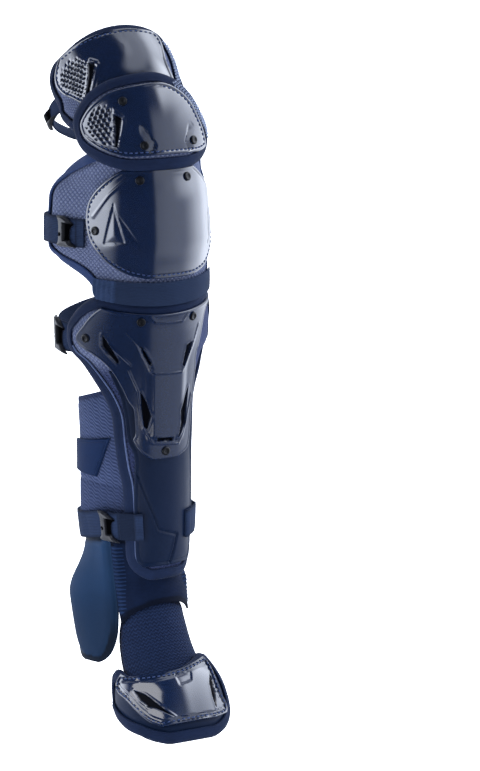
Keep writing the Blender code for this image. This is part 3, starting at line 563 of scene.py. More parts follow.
def dimple_holes(angle, along, corners, pitch=DIMPLE_PITCH, radius=DIMPLE_RADIUS):
    """Staggered round dimples that shrink towards the edge of their field, from 0 to 1."""
    x, y = flat_mm(angle, along)
    depth = area_depth(angle, along, corners)
    row = pitch * 0.82
    holes = np.zeros(x.shape)
    for lead in (0.0, 1.0):
        cx = np.round((x - lead * pitch * 0.5) / pitch) * pitch + lead * pitch * 0.5
        cy = np.round((y - lead * row) / (2.0 * row)) * 2.0 * row + lead * row
        span = radius * smooth(depth, -3.0, 7.0)
        holes = np.maximum(holes, smooth(np.hypot(x - cx, y - cy), span, span * 0.35 - 0.01) * (span > 0.4))
    return holes


def slot_relief(angle, along, corners, depth=SLOT_DEPTH, lip=0.5):
    """A sunk slot with a raised lip round it. Returns its relief and its pit, which marks the slot for
    painted shade.
    """
    inside = area_depth(angle, along, corners)
    sunk = smooth(inside, -0.4, 0.9)
    raised = lip * smooth(inside, -3.0, -0.8) * (1.0 - sunk)
    return raised - depth * sunk, sunk


def slots_relief(angle, along, slots, **settings):
    """Several air slots at once."""
    found = [slot_relief(angle, along, corners, **settings) for corners in slots]
    return sum(shape for shape, _ in found), np.max([pit for _, pit in found], axis=0)


def plate(name, table, inner, outer, material, relief, pitch=1.1, edge_round=1.1, stitched=STITCH_INSET):
    """A moulded plate with a rounded edge, a groove for its stitches and its own relief."""
    angle, along = patch_grid(table, pitch)
    edge = rim_distance(angle, along, PAD_THICKNESS)
    shape, pit = relief(angle, along, edge)
    cut = np.clip(edge_round - edge, 0.0, edge_round)
    rounding = edge_round - np.sqrt(edge_round * edge_round - cut * cut)
    bead = BEAD_HEIGHT * smooth(edge, 2.6, 1.6) * smooth(edge, 0.3, 1.3)
    groove = GROOVE_DEPTH * smooth(np.abs(edge - stitched), 0.9, 0.2) if stitched else 0.0
    high = outer(angle, along) + shape * smooth(edge, 1.0, 3.0) - rounding + bead - groove
    low = inner(angle, along) + 0.0 * edge
    return wall(name, leg_point(angle, along, low), leg_point(angle, along, high), material,
                flat_mm(angle, along), pit)


def lacquer_finish(name, colour, gloss=0.62, coat=0.35, blur=0.09):
    """Glossy moulded plastic: deep colour, soft moulding waves, hairline scuffs, dull pits darkened with
    painted shade.
    """
    material, tree, shader = new_finish(name, colour, 0.16, Specular_IOR_Level=gloss, Coat_Weight=coat,
                                        Coat_Roughness=0.06)
    vector = flat_place(tree)[0]
    pit = pit_place(tree)
    worn = cloud(tree, vector, 0.35, 6.0, 0.65)
    haze = cloud(tree, vector, 0.025, 3.0)
    drawn = add(tree, "ShaderNodeMapping", {
        0: vector, "Rotation": (0.0, 0.0, 0.6), "Scale": (0.35, 3.2, 1.0)})
    scuffs = calc(tree, "POWER", cloud(tree, drawn.outputs[0], 1.2, 4.0), 6.0)
    dull = calc(tree, "MULTIPLY_ADD", haze, 0.06, blur)
    dull = calc(tree, "MULTIPLY_ADD", scuffs, 0.22, dull)
    dull = calc(tree, "MULTIPLY_ADD", pit, 0.5, dull)
    tree.links.new(dull, shader.inputs["Roughness"])
    shine = calc(tree, "MULTIPLY_ADD", pit, 0.04 - gloss, gloss)
    tree.links.new(shine, shader.inputs["Specular IOR Level"])
    tree.links.new(calc(tree, "MULTIPLY_ADD", pit, -coat, coat), shader.inputs["Coat Weight"])
    paint(tree, shader, mix_colour(tree, worn, colour, tinted(colour, 1.35)), tinted(colour, 0.12))
    bump_in(tree, shader, calc(tree, "MULTIPLY_ADD", worn, 0.008, haze), 0.10)
    return material


def inset_loop(table, inset):
    """A patch's rim, moved inward by inset mm."""
    x, y = flat_mm(*rim_loop(*patch_grid(table, 1.6)))
    dx = np.roll(x, -1) - np.roll(x, 1)
    dy = np.roll(y, -1) - np.roll(y, 1)
    step = np.hypot(dx, dy)
    return (x - dy / step * inset) / MM_PER_DEGREE, (y + dx / step * inset) / MM_PER_PERCENT


def stitch_row(name, angle, along, face, material, keep=None, pitch=STITCH_PITCH, length=STITCH_LENGTH,
               radius=STITCH_RADIUS):
    """Short bars of thread along a line of places on a face. keep says where they are."""
    points = leg_point(angle, along, face(angle, along))
    run = np.concatenate(((0.0,), np.cumsum(np.linalg.norm(np.diff(points, axis=0), axis=1)))) / MM
    middles = (np.arange(int(run[-1] / pitch)) + 0.5) * pitch
    a, s = (np.interp(middles, run, line) for line in (angle, along))
    if keep is not None:
        middles, a, s = (line[keep(a, s)] for line in (middles, a, s))
    ahead_a, ahead_s = (np.interp(middles + 0.6, run, line) for line in (angle, along))
    origin, _, _, outward = face_frame(face, a, s)
    ahead = unit(leg_point(ahead_a, ahead_s, face(ahead_a, ahead_s)) - origin)
    across = unit(np.cross(outward, ahead))
    turn = np.linspace(0.0, math.tau, 6, endpoint=False)[None, :, None]
    rings = []
    for place_on, size in ((-1.0, 0.35), (-0.72, 0.9), (0.0, 1.0), (0.72, 0.9), (1.0, 0.35)):
        middle = origin + ahead * place_on * length * 0.5 * MM + outward * (size - 0.9) * radius * MM
        spoke = across[:, None, :] * np.cos(turn) + outward[:, None, :] * np.sin(turn)
        rings.append(middle[:, None, :] + spoke * size * radius * MM)
    rings = np.stack(rings, 1)
    count, levels, sides = rings.shape[:3]
    number = np.arange(count * levels * sides).reshape(count, levels, sides)
    here, there = number[:, :-1], number[:, 1:]
    faces = np.stack((here, np.roll(here, -1, axis=2), np.roll(there, -1, axis=2), there), -1).reshape(-1, 4)
    caps = [tuple(row) for row in np.concatenate((number[:, 0, ::-1], number[:, -1]))]
    return mesh_piece(name, rings.reshape(-1, 3), [tuple(f) for f in faces] + caps, material,
                      rings.reshape(-1, 3) / MM, sharp=60.0)


navy_lacquer = lacquer_finish("navy gloss plate", SHELL_NAVY)
thread = tape_finish("navy thread", THREAD_NAVY, 0.5)


def above(face, rise):
    """A face that lies a fixed height above another one."""
    return lambda angle, along: face(angle, along) + rise


thigh_plate_inner = above(thigh_lift, PAD_THICKNESS + LAYER_GAP)
thigh_plate_outer = above(thigh_plate_inner, PLATE_THICKNESS)


def vented_relief(angle, along, edge, slot, sill, bar, dimples):
    """An air slot with its sill and bar, beside a field of dimples. Returns its relief and its pits, which
    mark the slot and dimples for painted shade.
    """
    shape, sunk = slot_relief(angle, along, slot)
    raised = SILL_HEIGHT * smooth(area_depth(angle, along, sill), -0.6, 1.2)
    raised = raised + BAR_HEIGHT * smooth(line_distance(angle, along, bar), 1.9, 0.9)
    holes = dimple_holes(angle, along, dimples) * smooth(edge, 4.0, 7.0)
    return shape + raised * (1.0 - sunk) - DIMPLE_DEPTH * holes, np.maximum(sunk, DIMPLE_SHADE * holes)


def thigh_relief(angle, along, edge):
    shape, pit = vented_relief(angle, along, edge, THIGH_SLOT, THIGH_SLOT_SILL, THIGH_BAR, THIGH_DIMPLES)
    return shape + CREASE_HEIGHT * smooth(line_distance(angle, along, THIGH_CREASE), 1.4, 0.2), pit


thigh_plate = plate("thigh_plate", THIGH_SHELL, thigh_plate_inner, thigh_plate_outer, navy_lacquer,
                    thigh_relief)
place(thigh_plate, "shell", "thigh_shell")
thigh_stitches = stitch_row("thigh_stitches", *inset_loop(THIGH_SHELL, STITCH_INSET), thigh_plate_outer,
                            thread, lambda a, s: (s < 5.6) | (a < -50.0))
place(thigh_stitches, "edge_tape")

# Upper knee cap.
# A thin padded backing with its own edge tape, and a glossy plate riveted on, with a dimple field,
# an air slot and two sunk chevrons. The middle is left plain.
CAP_PAD_THICKNESS = 5.0
UPPER_KNEE_PAD = [
    (10.9, -38, -4, 0.1, 0.0), (11.1, -47, 2, 0.1, 0.0), (11.5, -55, 9, 0.1, 0.0), (12.1, -61, 16),
    (12.8, -65, 22), (13.7, -69, 29), (15.4, -71, 38), (17.1, -70, 50), (18.1, -66, 54),
    (18.9, -60, 52), (19.6, -54, 45), (20.2, -47, 37), (20.7, -38, 28), (21.0, -28, 19),
]
UPPER_KNEE_SHELL = [
    (11.7, -34, -2), (11.9, -42, 4), (12.3, -50, 10), (13.1, -58, 18), (14.2, -64, 25), (15.5, -66, 30),
    (17.0, -64, 36), (18.2, -57, 39), (18.9, -51, 40), (19.5, -44, 39), (19.9, -36, 33),
    (20.1, -29, 26),
]
CAP_SLOT = [(-38.0, 14.6), (-32.8, 15.2), (-38.6, 18.7), (-40.2, 18.7)]
CAP_SLOT_SILL = [(-37.5, 13.7), (-30.5, 15.0), (-32.5, 15.6), (-38.5, 14.6)]
CAP_BAR = [(-30.8, 15.5), (-37.6, 19.0)]
CAP_DIMPLES = [
    (-46, 12.9), (-38, 13.6), (-39, 16.2), (-43, 19.0), (-54, 18.0), (-62, 16.4), (-60, 13.9), (-54, 12.8),
]
# Each is a bent line and the corners of the facet that falls towards it.
CAP_CHEVRONS = [
    ([(-21.0, 15.9), (-10.8, 18.7), (-14.0, 20.2)], [(-19.0, 20.2), (-21.5, 18.0)]),
    ([(19.5, 16.2), (14.0, 18.7), (17.0, 20.0)], [(25.0, 20.0), (25.5, 17.0)]),
]
CHEVRON_DEPTH = 1.6
TAPE_FACE = 0.9            # the tape's face over its pad's
YARN_ROW_STEP = 1.9
YARN_PITCH = 3.5
YARN_LENGTH = 2.6
YARN_RADIUS = 1.0

cap_pad_inner = above(thigh_plate_outer, LAYER_GAP)
cap_pad_outer = above(cap_pad_inner, CAP_PAD_THICKNESS)
cap_plate_inner = above(cap_pad_outer, LAYER_GAP)
cap_plate_outer = above(cap_plate_inner, PLATE_THICKNESS)


def chevron(angle, along, line, rest, depth, width=8.0):
    """A facet that falls towards a bent line and ends there in a step."""
    side = area_depth(angle, along, line + rest)
    near = np.clip(1.0 - line_distance(angle, along, line) / width, 0.0, 1.0)
    start = line_distance(angle, along, [line[0], (line[0][0], line[0][1] - 0.01)])
    return -depth * smooth(side, -0.5, 0.3) * near * smooth(start, 0.5, 9.0)


def cap_relief(angle, along, edge):
    shape, pit = vented_relief(angle, along, edge, CAP_SLOT, CAP_SLOT_SILL, CAP_BAR, CAP_DIMPLES)
    return shape + sum(chevron(angle, along, line, rest, CHEVRON_DEPTH) for line, rest in CAP_CHEVRONS), pit


cap_backing = pad("upper_knee_backing", UPPER_KNEE_PAD, cap_pad_inner, cap_pad_outer, wing_knit, lining,
                  pinch=1.0)
place(cap_backing, "wing_fabric", "upper_knee_pad")
cap_tape = edge_tape("upper_knee_edge_tape", UPPER_KNEE_PAD, cap_pad_inner, cap_pad_outer, navy_tape)
place(cap_tape, "edge_tape", "upper_knee_binding")


def loop_part(table, inset, keep):
    """The stretch of an inset rim where keep holds, as one line without a break."""
    angle, along = inset_loop(table, inset)
    inside = keep(angle, along)
    start = int(np.argmax(inside & ~np.roll(inside, 1)))
    angle, along, inside = (np.roll(line, -start) for line in (angle, along, inside))
    return angle[inside], along[inside]


def coarse_knit(name, table, face, keep, rows=4):
    """Rows of thick yarn loops that run round part of a taped edge."""
    for row in range(rows):
        line = loop_part(table, STITCH_INSET - YARN_ROW_STEP * row, keep)
        shifted = tuple(part[row % 2:] for part in line)
        loops = stitch_row(f"{name}_{row + 1}", *shifted, face, knit_yarn, pitch=YARN_PITCH,
                           length=YARN_LENGTH, radius=YARN_RADIUS)
        place(loops, "edge_tape")


knit_yarn = tape_finish("slate yarn", (0.110, 0.130, 0.185), 0.6)
coarse_knit("upper_knee_coarse_knit", UPPER_KNEE_PAD, above(cap_pad_outer, TAPE_FACE),
            lambda a, s: (a > 10.0) & (s < 18.6))
coarse_knit("thigh_coarse_knit", THIGH_PAD, above(thigh_pad_outer, TAPE_FACE),
            lambda a, s: (a > 16.0) & (s > 4.2) & (s < 12.4))
cap_plate = plate("upper_knee_plate", UPPER_KNEE_SHELL, cap_plate_inner, cap_plate_outer, navy_lacquer,
                  cap_relief)
place(cap_plate, "shell", "upper_knee_shell")
cap_stitches = stitch_row("upper_knee_stitches", *inset_loop(UPPER_KNEE_SHELL, STITCH_INSET),
                          cap_plate_outer, thread, lambda a, s: (s > 18.3) | (a > 2.0))
place(cap_stitches, "edge_tape")

# Knee backing with its side wings.
# Foam in mesh knit like the thigh backing. The left wing swings out from the leg and carries the
# knee strap's clip.
KNEE_BULGE = 6.0
WING_FLARE = 16.0
RIGHT_WING_SHARE = 0.5
KNEE_PACKING = CAP_PACKING + 0.4
KNEE_MIDDLE = 29.0
KNEE_OVAL = 34.0
KNEE_PAD = [
    (19.3, -50, 42), (20.3, -66, 52), (21.4, -83, 62), (22.6, -98, 72), (24.2, -106, 80),
    (26.1, -108, 84), (28.3, -109, 85), (30.9, -109, 85), (32.9, -106, 82), (34.5, -95, 74),
    (35.3, -80, 68), (36.0, -70, 63), (36.8, -63, 60), (37.8, -58, 56),
]


def knee_height(angle, along):
    across = smooth(np.abs(angle), 86.0, 20.0)
    crown = KNEE_BULGE * across * smooth(along, 21.8, 27.0) * smooth(along, 36.0, 31.0)
    reach = smooth(-angle, 66.0, 112.0) + RIGHT_WING_SHARE * smooth(angle, 62.0, 84.0)
    return crown + WING_FLARE * reach * smooth(along, 20.5, 26.0) * smooth(along, 38.0, 32.5)


def knee_pad_outer(angle, along):
    return knee_height(angle, along) + PAD_THICKNESS + KNEE_PACKING * smooth(along, 21.2, 20.4)


def knee_channels(angle, along, edge):
    """A quilted oval behind the knee cap, with channels to the wings."""
    reach = np.hypot(angle * 0.9, (along - KNEE_MIDDLE) * MM_PER_PERCENT)
    spokes = np.where(reach > KNEE_OVAL, lines_every(along, KNEE_MIDDLE, 5.0), np.inf)
    return sewn_channel(np.minimum(np.abs(reach - KNEE_OVAL), spokes), edge, 1.3)


knee_backing = pad("knee_backing", KNEE_PAD, knee_height, knee_pad_outer, wing_knit, lining,
                   channels=knee_channels)
place(knee_backing, "wing_fabric", "knee_pad")
# The knee's tape is the navy tape made about three times lighter: painted light that the tape catches on the
# knee wing.
painted_light_tape = tape_finish("slate edge tape", (0.0078, 0.0150, 0.0430))
knee_tape = edge_tape("knee_edge_tape", KNEE_PAD, knee_height, knee_pad_outer, painted_light_tape)
place(knee_tape, "edge_tape", "knee_binding")

# Knee cap.
# A domed glossy plate, sewn along its left and bottom edge and riveted above, with flat moulded
# facets towards the outer side.
KNEE_SHELL = [
    (21.9, -38, 29), (22.7, -47, 38), (23.7, -54, 46), (24.9, -61, 54), (26.3, -66, 60),
    (28.2, -68, 63), (30.0, -66, 62), (31.4, -62, 60), (32.6, -56, 55), (33.7, -50, 50),
    (34.6, -42, 44), (35.3, -32, 36), (35.8, -18, 22),
]
KNEE_RIDGE = [(-33.0, 22.8), (-47.0, 25.0), (-60.0, 27.8)]
KNEE_FACET = [(-43.0, 26.0), (-34.5, 31.0), (-51.0, 31.3)]
KNEE_LENS = [(-40.0, 27.4), (-33.0, 28.8), (-22.0, 31.6), (-31.5, 30.4)]
KNEE_RIGHT_LENS = [(37.0, 29.6), (48.0, 27.0), (46.0, 31.4), (39.0, 32.2)]
LENS_DEPTH = 0.9
RIDGE_HEIGHT = 0.9
FACET_DEPTH = 0.8

knee_plate_inner = above(knee_height, PAD_THICKNESS + LAYER_GAP)
knee_plate_outer = above(knee_plate_inner, PLATE_THICKNESS)


def knee_relief(angle, along, edge):
    ridge = RIDGE_HEIGHT * smooth(line_distance(angle, along, KNEE_RIDGE), 2.4, 0.2)
    facet = area_depth(angle, along, KNEE_FACET)
    sunk = FACET_DEPTH * smooth(facet, -0.5, 0.6) * smooth(facet, 8.0, 0.0)
    lenses = sum(smooth(area_depth(angle, along, lens), -0.5, 1.2) for lens in (KNEE_LENS, KNEE_RIGHT_LENS))
    return ridge - sunk - LENS_DEPTH * lenses, 0.0 * edge


knee_plate = plate("knee_plate", KNEE_SHELL, knee_plate_inner, knee_plate_outer, navy_lacquer, knee_relief)
place(knee_plate, "shell", "knee_shell")
knee_stitches = stitch_row("knee_stitches", *inset_loop(KNEE_SHELL, STITCH_INSET), knee_plate_outer,
                           thread, lambda a, s: (s > 31.0) | (a < -44.0))
place(knee_stitches, "edge_tape")

# Knee band.
# A wide elastic band sewn across between the knee and the shin, with ribbed elastic at its left end.
BAND_THICKNESS = 2.2
BAND_SEAM = -42.0          # degrees
BAND_RIB_PITCH = 5.2
KNEE_BAND = [(36.3, -60, 60), (37.8, -61, 60), (39.4, -58, 57)]
BAND_BLUE = (0.0140, 0.0245, 0.0560)


def leg_face(angle, along):
    return 0.0 * angle


band_inner = above(leg_face, PAD_THICKNESS + BINDING_PROUD + LAYER_GAP)
band_outer = above(band_inner, BAND_THICKNESS)


def band_ribs(angle, along, edge):
    """Ribs of gathered elastic near the left end, and a seam beside them."""
    left = smooth(angle, BAND_SEAM + 2.0, BAND_SEAM - 2.0)
    ribs = 0.6 * np.cos(angle * MM_PER_DEGREE * math.tau / BAND_RIB_PITCH) * left
    seam = -0.5 * smooth(np.abs(angle - BAND_SEAM) * MM_PER_DEGREE, 1.6, 0.3)
    return ribs + seam


def band_shade(angle, along, edge):
    """The band is darker than its ribbed end."""
    return 0.75 * smooth(angle, BAND_SEAM - 1.0, BAND_SEAM + 1.0)


def webbing_finish(name, colour, rib=1.6, cross=1.0):
    """Elastic webbing: fine cords along it with a close cross weave."""
    material, tree, shader = new_finish(name, colour, 0.78, Specular_IOR_Level=0.04, Sheen_Weight=0.01,
                                        Sheen_Roughness=0.45)
    vector, around, along = flat_place(tree)
    cords = ripple(tree, along, rib)
    weft = ripple(tree, around, cross)
    weave = calc(tree, "MULTIPLY_ADD", weft, 0.4, calc(tree, "MULTIPLY", cords, 0.6))
    fade = cloud(tree, vector, 0.05, 4.0)
    dark = tinted(colour, 0.45)
    pale = tuple(min(1.0, c * 1.6) for c in colour)
    share = calc(tree, "MULTIPLY_ADD", weave, 0.6, calc(tree, "MULTIPLY", fade, 0.5))
    paint(tree, shader, mix_colour(tree, share, dark, pale), dark)
    bump_in(tree, shader, weave, 0.22)
    return material


band_cloth = webbing_finish("slate elastic band", BAND_BLUE)
knee_elastic = pad("knee_elastic_band", KNEE_BAND, band_inner, band_outer, band_cloth, lining, pinch=0.5,
                   shape=band_ribs, shade=band_shade)
place(knee_elastic, "band", "knee_band")

# Shin backing.
# Foam in mesh knit with rounded side lobes, taped round its edge.
SHIN_PAD_THICKNESS = 7.0
PANEL_THICKNESS = 2.4
SHIN_FLARE = 5.0
SHIN_PAD = [
    (40.3, -56, 54), (41.5, -66, 64), (42.9, -75, 72), (44.3, -81, 78), (46.1, -82, 78),
    (47.5, -78, 72), (48.6, -69, 62), (49.9, -60, 52), (51.1, -53, 44), (52.4, -47, 39),
    (53.7, -43, 37), (55.3, -40, 38), (58.7, -39, 41), (62.1, -37, 45), (64.5, -34, 48),
    (68.4, -34, 50), (72.4, -35, 50), (74.5, -35, 48), (75.7, -29, 42), (76.6, -16, 30),
]


def shin_lobe(angle, along):
    reach = smooth(np.abs(angle), 45.0, 85.0)
    return SHIN_FLARE * reach * smooth(along, 40.0, 44.0) * smooth(along, 50.0, 46.0)


def shin_pad_outer(angle, along):
    full = PANEL_THICKNESS + LAYER_GAP
    return shin_lobe(angle, along) + SHIN_PAD_THICKNESS + full * smooth(along, 48.2, 47.0)


def shin_channels(angle, along, edge):
    """Two long channels and cross seams in the lining."""
    long_seams = np.abs(np.abs(angle - 4.0) - 20.0) * MM_PER_DEGREE
    return sewn_channel(np.minimum(long_seams, lines_every(along, 41.0, 7.0)), edge, 1.2, 2.6, 11.0)


def shin_shade(angle, along, edge):
    """The knit is slate on the outer lobe and navy below it and on the inner side."""
    return 0.9 * np.maximum(smooth(along, 47.6, 50.0), smooth(angle, 0.0, 20.0))


shin_backing = pad("shin_backing", SHIN_PAD, shin_lobe, shin_pad_outer, wing_knit, lining, pinch=1.6,
                   channels=shin_channels, shade=shin_shade)
place(shin_backing, "wing_fabric", "shin_pad")
shin_tape = edge_tape("shin_edge_tape", SHIN_PAD, shin_lobe, shin_pad_outer, navy_tape)
place(shin_tape, "edge_tape", "shin_binding")


def cord_sweep(name, angle, along, face, radius, material, lift=0.6):
    """A round cord that lies along a line of places on a face."""
    origin, _, _, outward = face_frame(face, angle, along)
    across = unit(np.cross(outward, np.gradient(origin, axis=0)))
    turn = np.linspace(0.0, math.tau, 8, endpoint=False)[None, :, None]
    spoke = across[:, None, :] * np.cos(turn) + outward[:, None, :] * np.sin(turn)
    rings = (origin + outward * radius * lift * MM)[:, None, :] + spoke * radius * MM
    return ring_sweep(name, rings, material, rings.reshape(-1, 3) / MM, closed=False, sharp=80.0)


PIPING_RADIUS = 1.1
PIPING_INSET = 5.4
piping_thread = tape_finish("slate piping", (0.030, 0.042, 0.085), 0.9)
piping_line = loop_part(SHIN_PAD, PIPING_INSET, lambda a, s: (a < -20.0) & (s > 46.4) & (s < 75.8))
shin_piping = cord_sweep("shin_piping", *piping_line, shin_pad_outer, PIPING_RADIUS, piping_thread)
place(shin_piping, "edge_tape")

# Shin panel.
# A moulded foam panel with a satin skin, sewn on below the hard plate, with a long pressed groove.
SHIN_PANEL = [
    (48.9, -46, 36), (50.7, -41, 34), (52.2, -37, 33), (54.9, -34, 33), (58.3, -32, 36),
    (60.3, -27, 38), (63.2, -28, 41), (67.0, -30, 44), (71.7, -31, 44), (74.5, -31, 42),
    (75.6, -25, 36),
]
PANEL_GROOVE = [(-27.0, 62.0), (-16.0, 66.4), (-5.0, 70.5), (17.0, 71.5), (12.0, 73.6), (4.0, 76.2)]
PANEL_CROWN = 0.5
PANEL_LIP = 0.6
PANEL_DROP = 0.9
PANEL_GROOVE_DEPTH = 1.0
PANEL_STITCH_INSET = 4.2
PANEL_NAVY = (0.0010, 0.0040, 0.0140)

panel_inner = above(shin_lobe, SHIN_PAD_THICKNESS + LAYER_GAP)
panel_outer = above(panel_inner, PANEL_THICKNESS)


def panel_relief(angle, along, edge):
    """The field below the groove lies a little lower than the one above it."""
    groove = line_distance(angle, along, PANEL_GROOVE)
    lower = smooth(area_depth(angle, along, PANEL_GROOVE + [(-60.0, 78.0), (-60.0, 62.0)]), -0.8, 1.2)
    crown = PANEL_CROWN * smooth(edge, 2.0, 16.0)
    lip = PANEL_LIP * smooth(np.abs(groove - 3.0), 1.4, 0.2)
    cut = PANEL_GROOVE_DEPTH * smooth(groove, 2.0, 0.3)
    return crown + (lip - PANEL_DROP) * lower - cut, 0.0 * edge


def satin_finish(name, colour, roughness=0.42, grain=0.9, gloss=0.08):
    """Satin moulded foam or smooth synthetic leather with a fine grain."""
    material, tree, shader = new_finish(name, colour, roughness, Specular_IOR_Level=gloss)
    vector = flat_place(tree)[0]
    pebble = add(tree, "ShaderNodeTexVoronoi", {"Vector": vector, "Scale": 1.0 / grain}).outputs["Distance"]
    haze = cloud(tree, vector, 0.03, 4.0)
    fine = cloud(tree, vector, 1.3, 5.0, 0.6)
    tree.links.new(calc(tree, "MULTIPLY_ADD", haze, 0.22, roughness - 0.08), shader.inputs["Roughness"])
    share = calc(tree, "MULTIPLY_ADD", fine, 0.35, calc(tree, "MULTIPLY", haze, 0.5))
    paint(tree, shader, mix_colour(tree, share, colour, tinted(colour, 1.9)), tinted(colour, 0.3))
    bump_in(tree, shader, calc(tree, "MULTIPLY_ADD", fine, 0.4, pebble), 0.07)
    return material


panel_skin = satin_finish("navy satin foam", PANEL_NAVY)
shin_front_panel = plate("shin_front_panel", SHIN_PANEL, panel_inner, panel_outer, panel_skin, panel_relief,
                         pitch=1.3, stitched=PANEL_STITCH_INSET)
place(shin_front_panel, "panel", "shin_panel")

# Shin plate.
# A hard glossy plate with a raised spine, ridged flanks, rows of air slots and a notch at the top
# under the band. It is riveted through the backing.
SPINE_HEIGHT = 2.6
SPINE_HALF_TOP = 26.0
SPINE_HALF_LOW = 14.0
SHIN_SHELL = [
    (40.5, -52, 50), (41.2, -56, 44), (42.4, -62, 40), (43.8, -68, 38), (45.1, -72, 36),
    (46.1, -69, 34), (46.8, -59, 32), (47.6, -50, 31), (48.8, -42, 31), (50.7, -35, 30),
    (52.6, -30, 29), (53.6, -26, 28), (55.3, -25, 28), (57.1, -25, 28), (58.0, -27, 28),
    (59.2, -23, 27), (60.0, -18, 24), (60.7, -11, 14),
]
SHIN_SLOTS = [
    [(-50.0, 43.9), (-44.0, 45.3), (-36.4, 47.2), (-37.6, 47.6), (-45.0, 46.4), (-50.0, 45.5)],
    [(-21.0, 44.8), (-16.5, 45.9), (-12.2, 47.3), (-13.6, 47.6), (-18.6, 46.1)],
    [(-20.2, 51.2), (-15.2, 52.7), (-11.8, 54.6), (-15.0, 56.4), (-17.6, 56.1), (-19.4, 53.9)],
    [(22.6, 45.0), (16.4, 45.4), (13.4, 47.9), (14.6, 48.1), (18.4, 46.8)],
    [(22.0, 51.2), (13.4, 54.2), (14.2, 56.0), (12.0, 58.0), (20.4, 56.2)],
    [(-7.0, 57.6), (7.4, 57.8), (7.4, 58.3), (-7.0, 58.1)],
]
SHIN_RIDGES = [
    [(-31.0, 43.1), (-22.0, 44.9), (-13.0, 48.3), (-9.0, 48.6), (13.0, 48.8), (23.0, 45.5), (31.0, 43.0)],
    [(-29.0, 48.3), (-22.0, 51.1), (-18.5, 56.3), (-10.5, 58.4), (14.0, 58.8), (20.0, 56.9), (26.0, 52.4)],
    [(-45.0, 45.1), (-28.0, 47.5)],
    [(-17.0, 40.4), (-9.5, 41.6), (13.0, 41.8), (19.0, 40.4)],
]


def shin_spine(angle, along):
    half = SPINE_HALF_TOP + (SPINE_HALF_LOW - SPINE_HALF_TOP) * smooth(along, 43.0, 49.0)
    inside = smooth(np.abs(angle - 2.0), half + 5.0, half - 3.0)
    return SPINE_HEIGHT * inside * smooth(along, 42.5, 46.0) * smooth(along, 58.7, 57.2)


shin_plate_inner = above(panel_outer, LAYER_GAP)


def shin_plate_outer(angle, along):
    return shin_plate_inner(angle, along) + PLATE_THICKNESS + shin_spine(angle, along)


def shin_relief(angle, along, edge):
    shape, pit = slots_relief(angle, along, SHIN_SLOTS, lip=0.4)
    ridges = sum(smooth(line_distance(angle, along, corners), 1.8, 0.1) for corners in SHIN_RIDGES)
    return shape + RIDGE_HEIGHT * ridges * (1.0 - pit), pit


shin_lacquer = lacquer_finish("navy shin plate", SHELL_NAVY, 0.34, 0.10, 0.15)
shin_plate = plate("shin_plate", SHIN_SHELL, shin_plate_inner, shin_plate_outer, shin_lacquer, shin_relief,
                   stitched=None)
place(shin_plate, "shell", "shin_shell")

# Calf flap.
# A soft flap behind the shin on the outer side, in a cloth with a wavy rib, with a smooth patch
# sewn on it. The patch is left plain.
WING_THICKNESS = 5.0
PATCH_THICKNESS = 2.0
CALF_TUCK = -4.0
CALF_SPREAD = 11.0
CALF_SEAM = 64.9           # percent along
CALF_SEAM_DEPTH = 0.8
PATCH_CROWN = 0.3
RIM_WIDTH = 4.6
CALF_WING = [
    (52.9, -96, -48, -1.2, 0.0), (53.5, -106, -44, -1.1, 0.0), (55.3, -112, -37, -0.5, 0.0),
    (59.2, -113, -36), (65.3, -113, -34), (69.7, -114, -33, -0.3, 0.0), (71.7, -114, -33, -0.9, 0.0),
]
CALF_PATCH = [(59.2, -110, -52, -0.8, 0.0), (64.0, -110, -74)]


def calf_lift(angle, along):
    under = -(WING_THICKNESS + LAYER_GAP)
    behind = CALF_TUCK + CALF_SPREAD * smooth(along, 55.0, 72.0)
    return under + (behind - under) * smooth(-angle, 50.0, 108.0)


calf_outer = above(calf_lift, WING_THICKNESS)
patch_inner = above(calf_outer, LAYER_GAP)
patch_outer = above(patch_inner, PATCH_THICKNESS)


def calf_shape(angle, along, edge):
    """A seam below the patch."""
    seam = np.abs(along - CALF_SEAM) * MM_PER_PERCENT
    return -CALF_SEAM_DEPTH * smooth(seam, 2.4, 0.4)


def rim_painted_shade(angle, along, edge):
    """Painted shade along the turned edge of a piece, for the shader."""
    return smooth(edge, RIM_WIDTH + 1.0, RIM_WIDTH)


def calf_shade(angle, along, edge):
    """Painted shade along the turned edge, and a darker cloth below the seam."""
    return np.maximum(rim_painted_shade(angle, along, edge), 0.35 * smooth(along, CALF_SEAM - 0.2, CALF_SEAM + 0.2))


def wave_finish(name, light, dark, pitch, swing, run, depth, lean=0.0):
    """Cloth with rows of waves across it."""
    material, tree, shader = new_finish(name, light, 0.8, Specular_IOR_Level=0.07, Sheen_Weight=0.01,
                                        Sheen_Roughness=0.5)
    vector, around, along = flat_place(tree)
    swell = calc(tree, "MULTIPLY", calc(tree, "SINE", calc(tree, "MULTIPLY", around, math.tau / run)), swing)
    slanted = calc(tree, "MULTIPLY_ADD", around, lean, along)
    rows = ripple(tree, calc(tree, "ADD", slanted, swell), pitch)
    yarn = calc(tree, "MULTIPLY", ripple(tree, around, 0.9), ripple(tree, along, 0.8))
    fade = cloud(tree, vector, 0.04, 4.0)
    share = calc(tree, "MULTIPLY_ADD", yarn, 0.15, calc(tree, "MULTIPLY", rows, 0.7))
    share = add(tree, "ShaderNodeClamp", {0: calc(tree, "MULTIPLY_ADD", fade, 0.35, share)}).outputs[0]
    paint(tree, shader, mix_colour(tree, share, dark, light), dark)
    bump_in(tree, shader, calc(tree, "MULTIPLY_ADD", yarn, 0.15, rows), depth)
    return material


wave_cloth = wave_finish("slate wave cloth", (0.038, 0.053, 0.112), (0.009, 0.015, 0.042), 3.8, 0.7, 11.0,
                         0.6, lean=-0.42)
calf_flap = pad("calf_flap", CALF_WING, calf_lift, calf_outer, wave_cloth, lining, pinch=1.4,
                shape=calf_shape, shade=calf_shade)
place(calf_flap, "wing_fabric", "calf_wing")


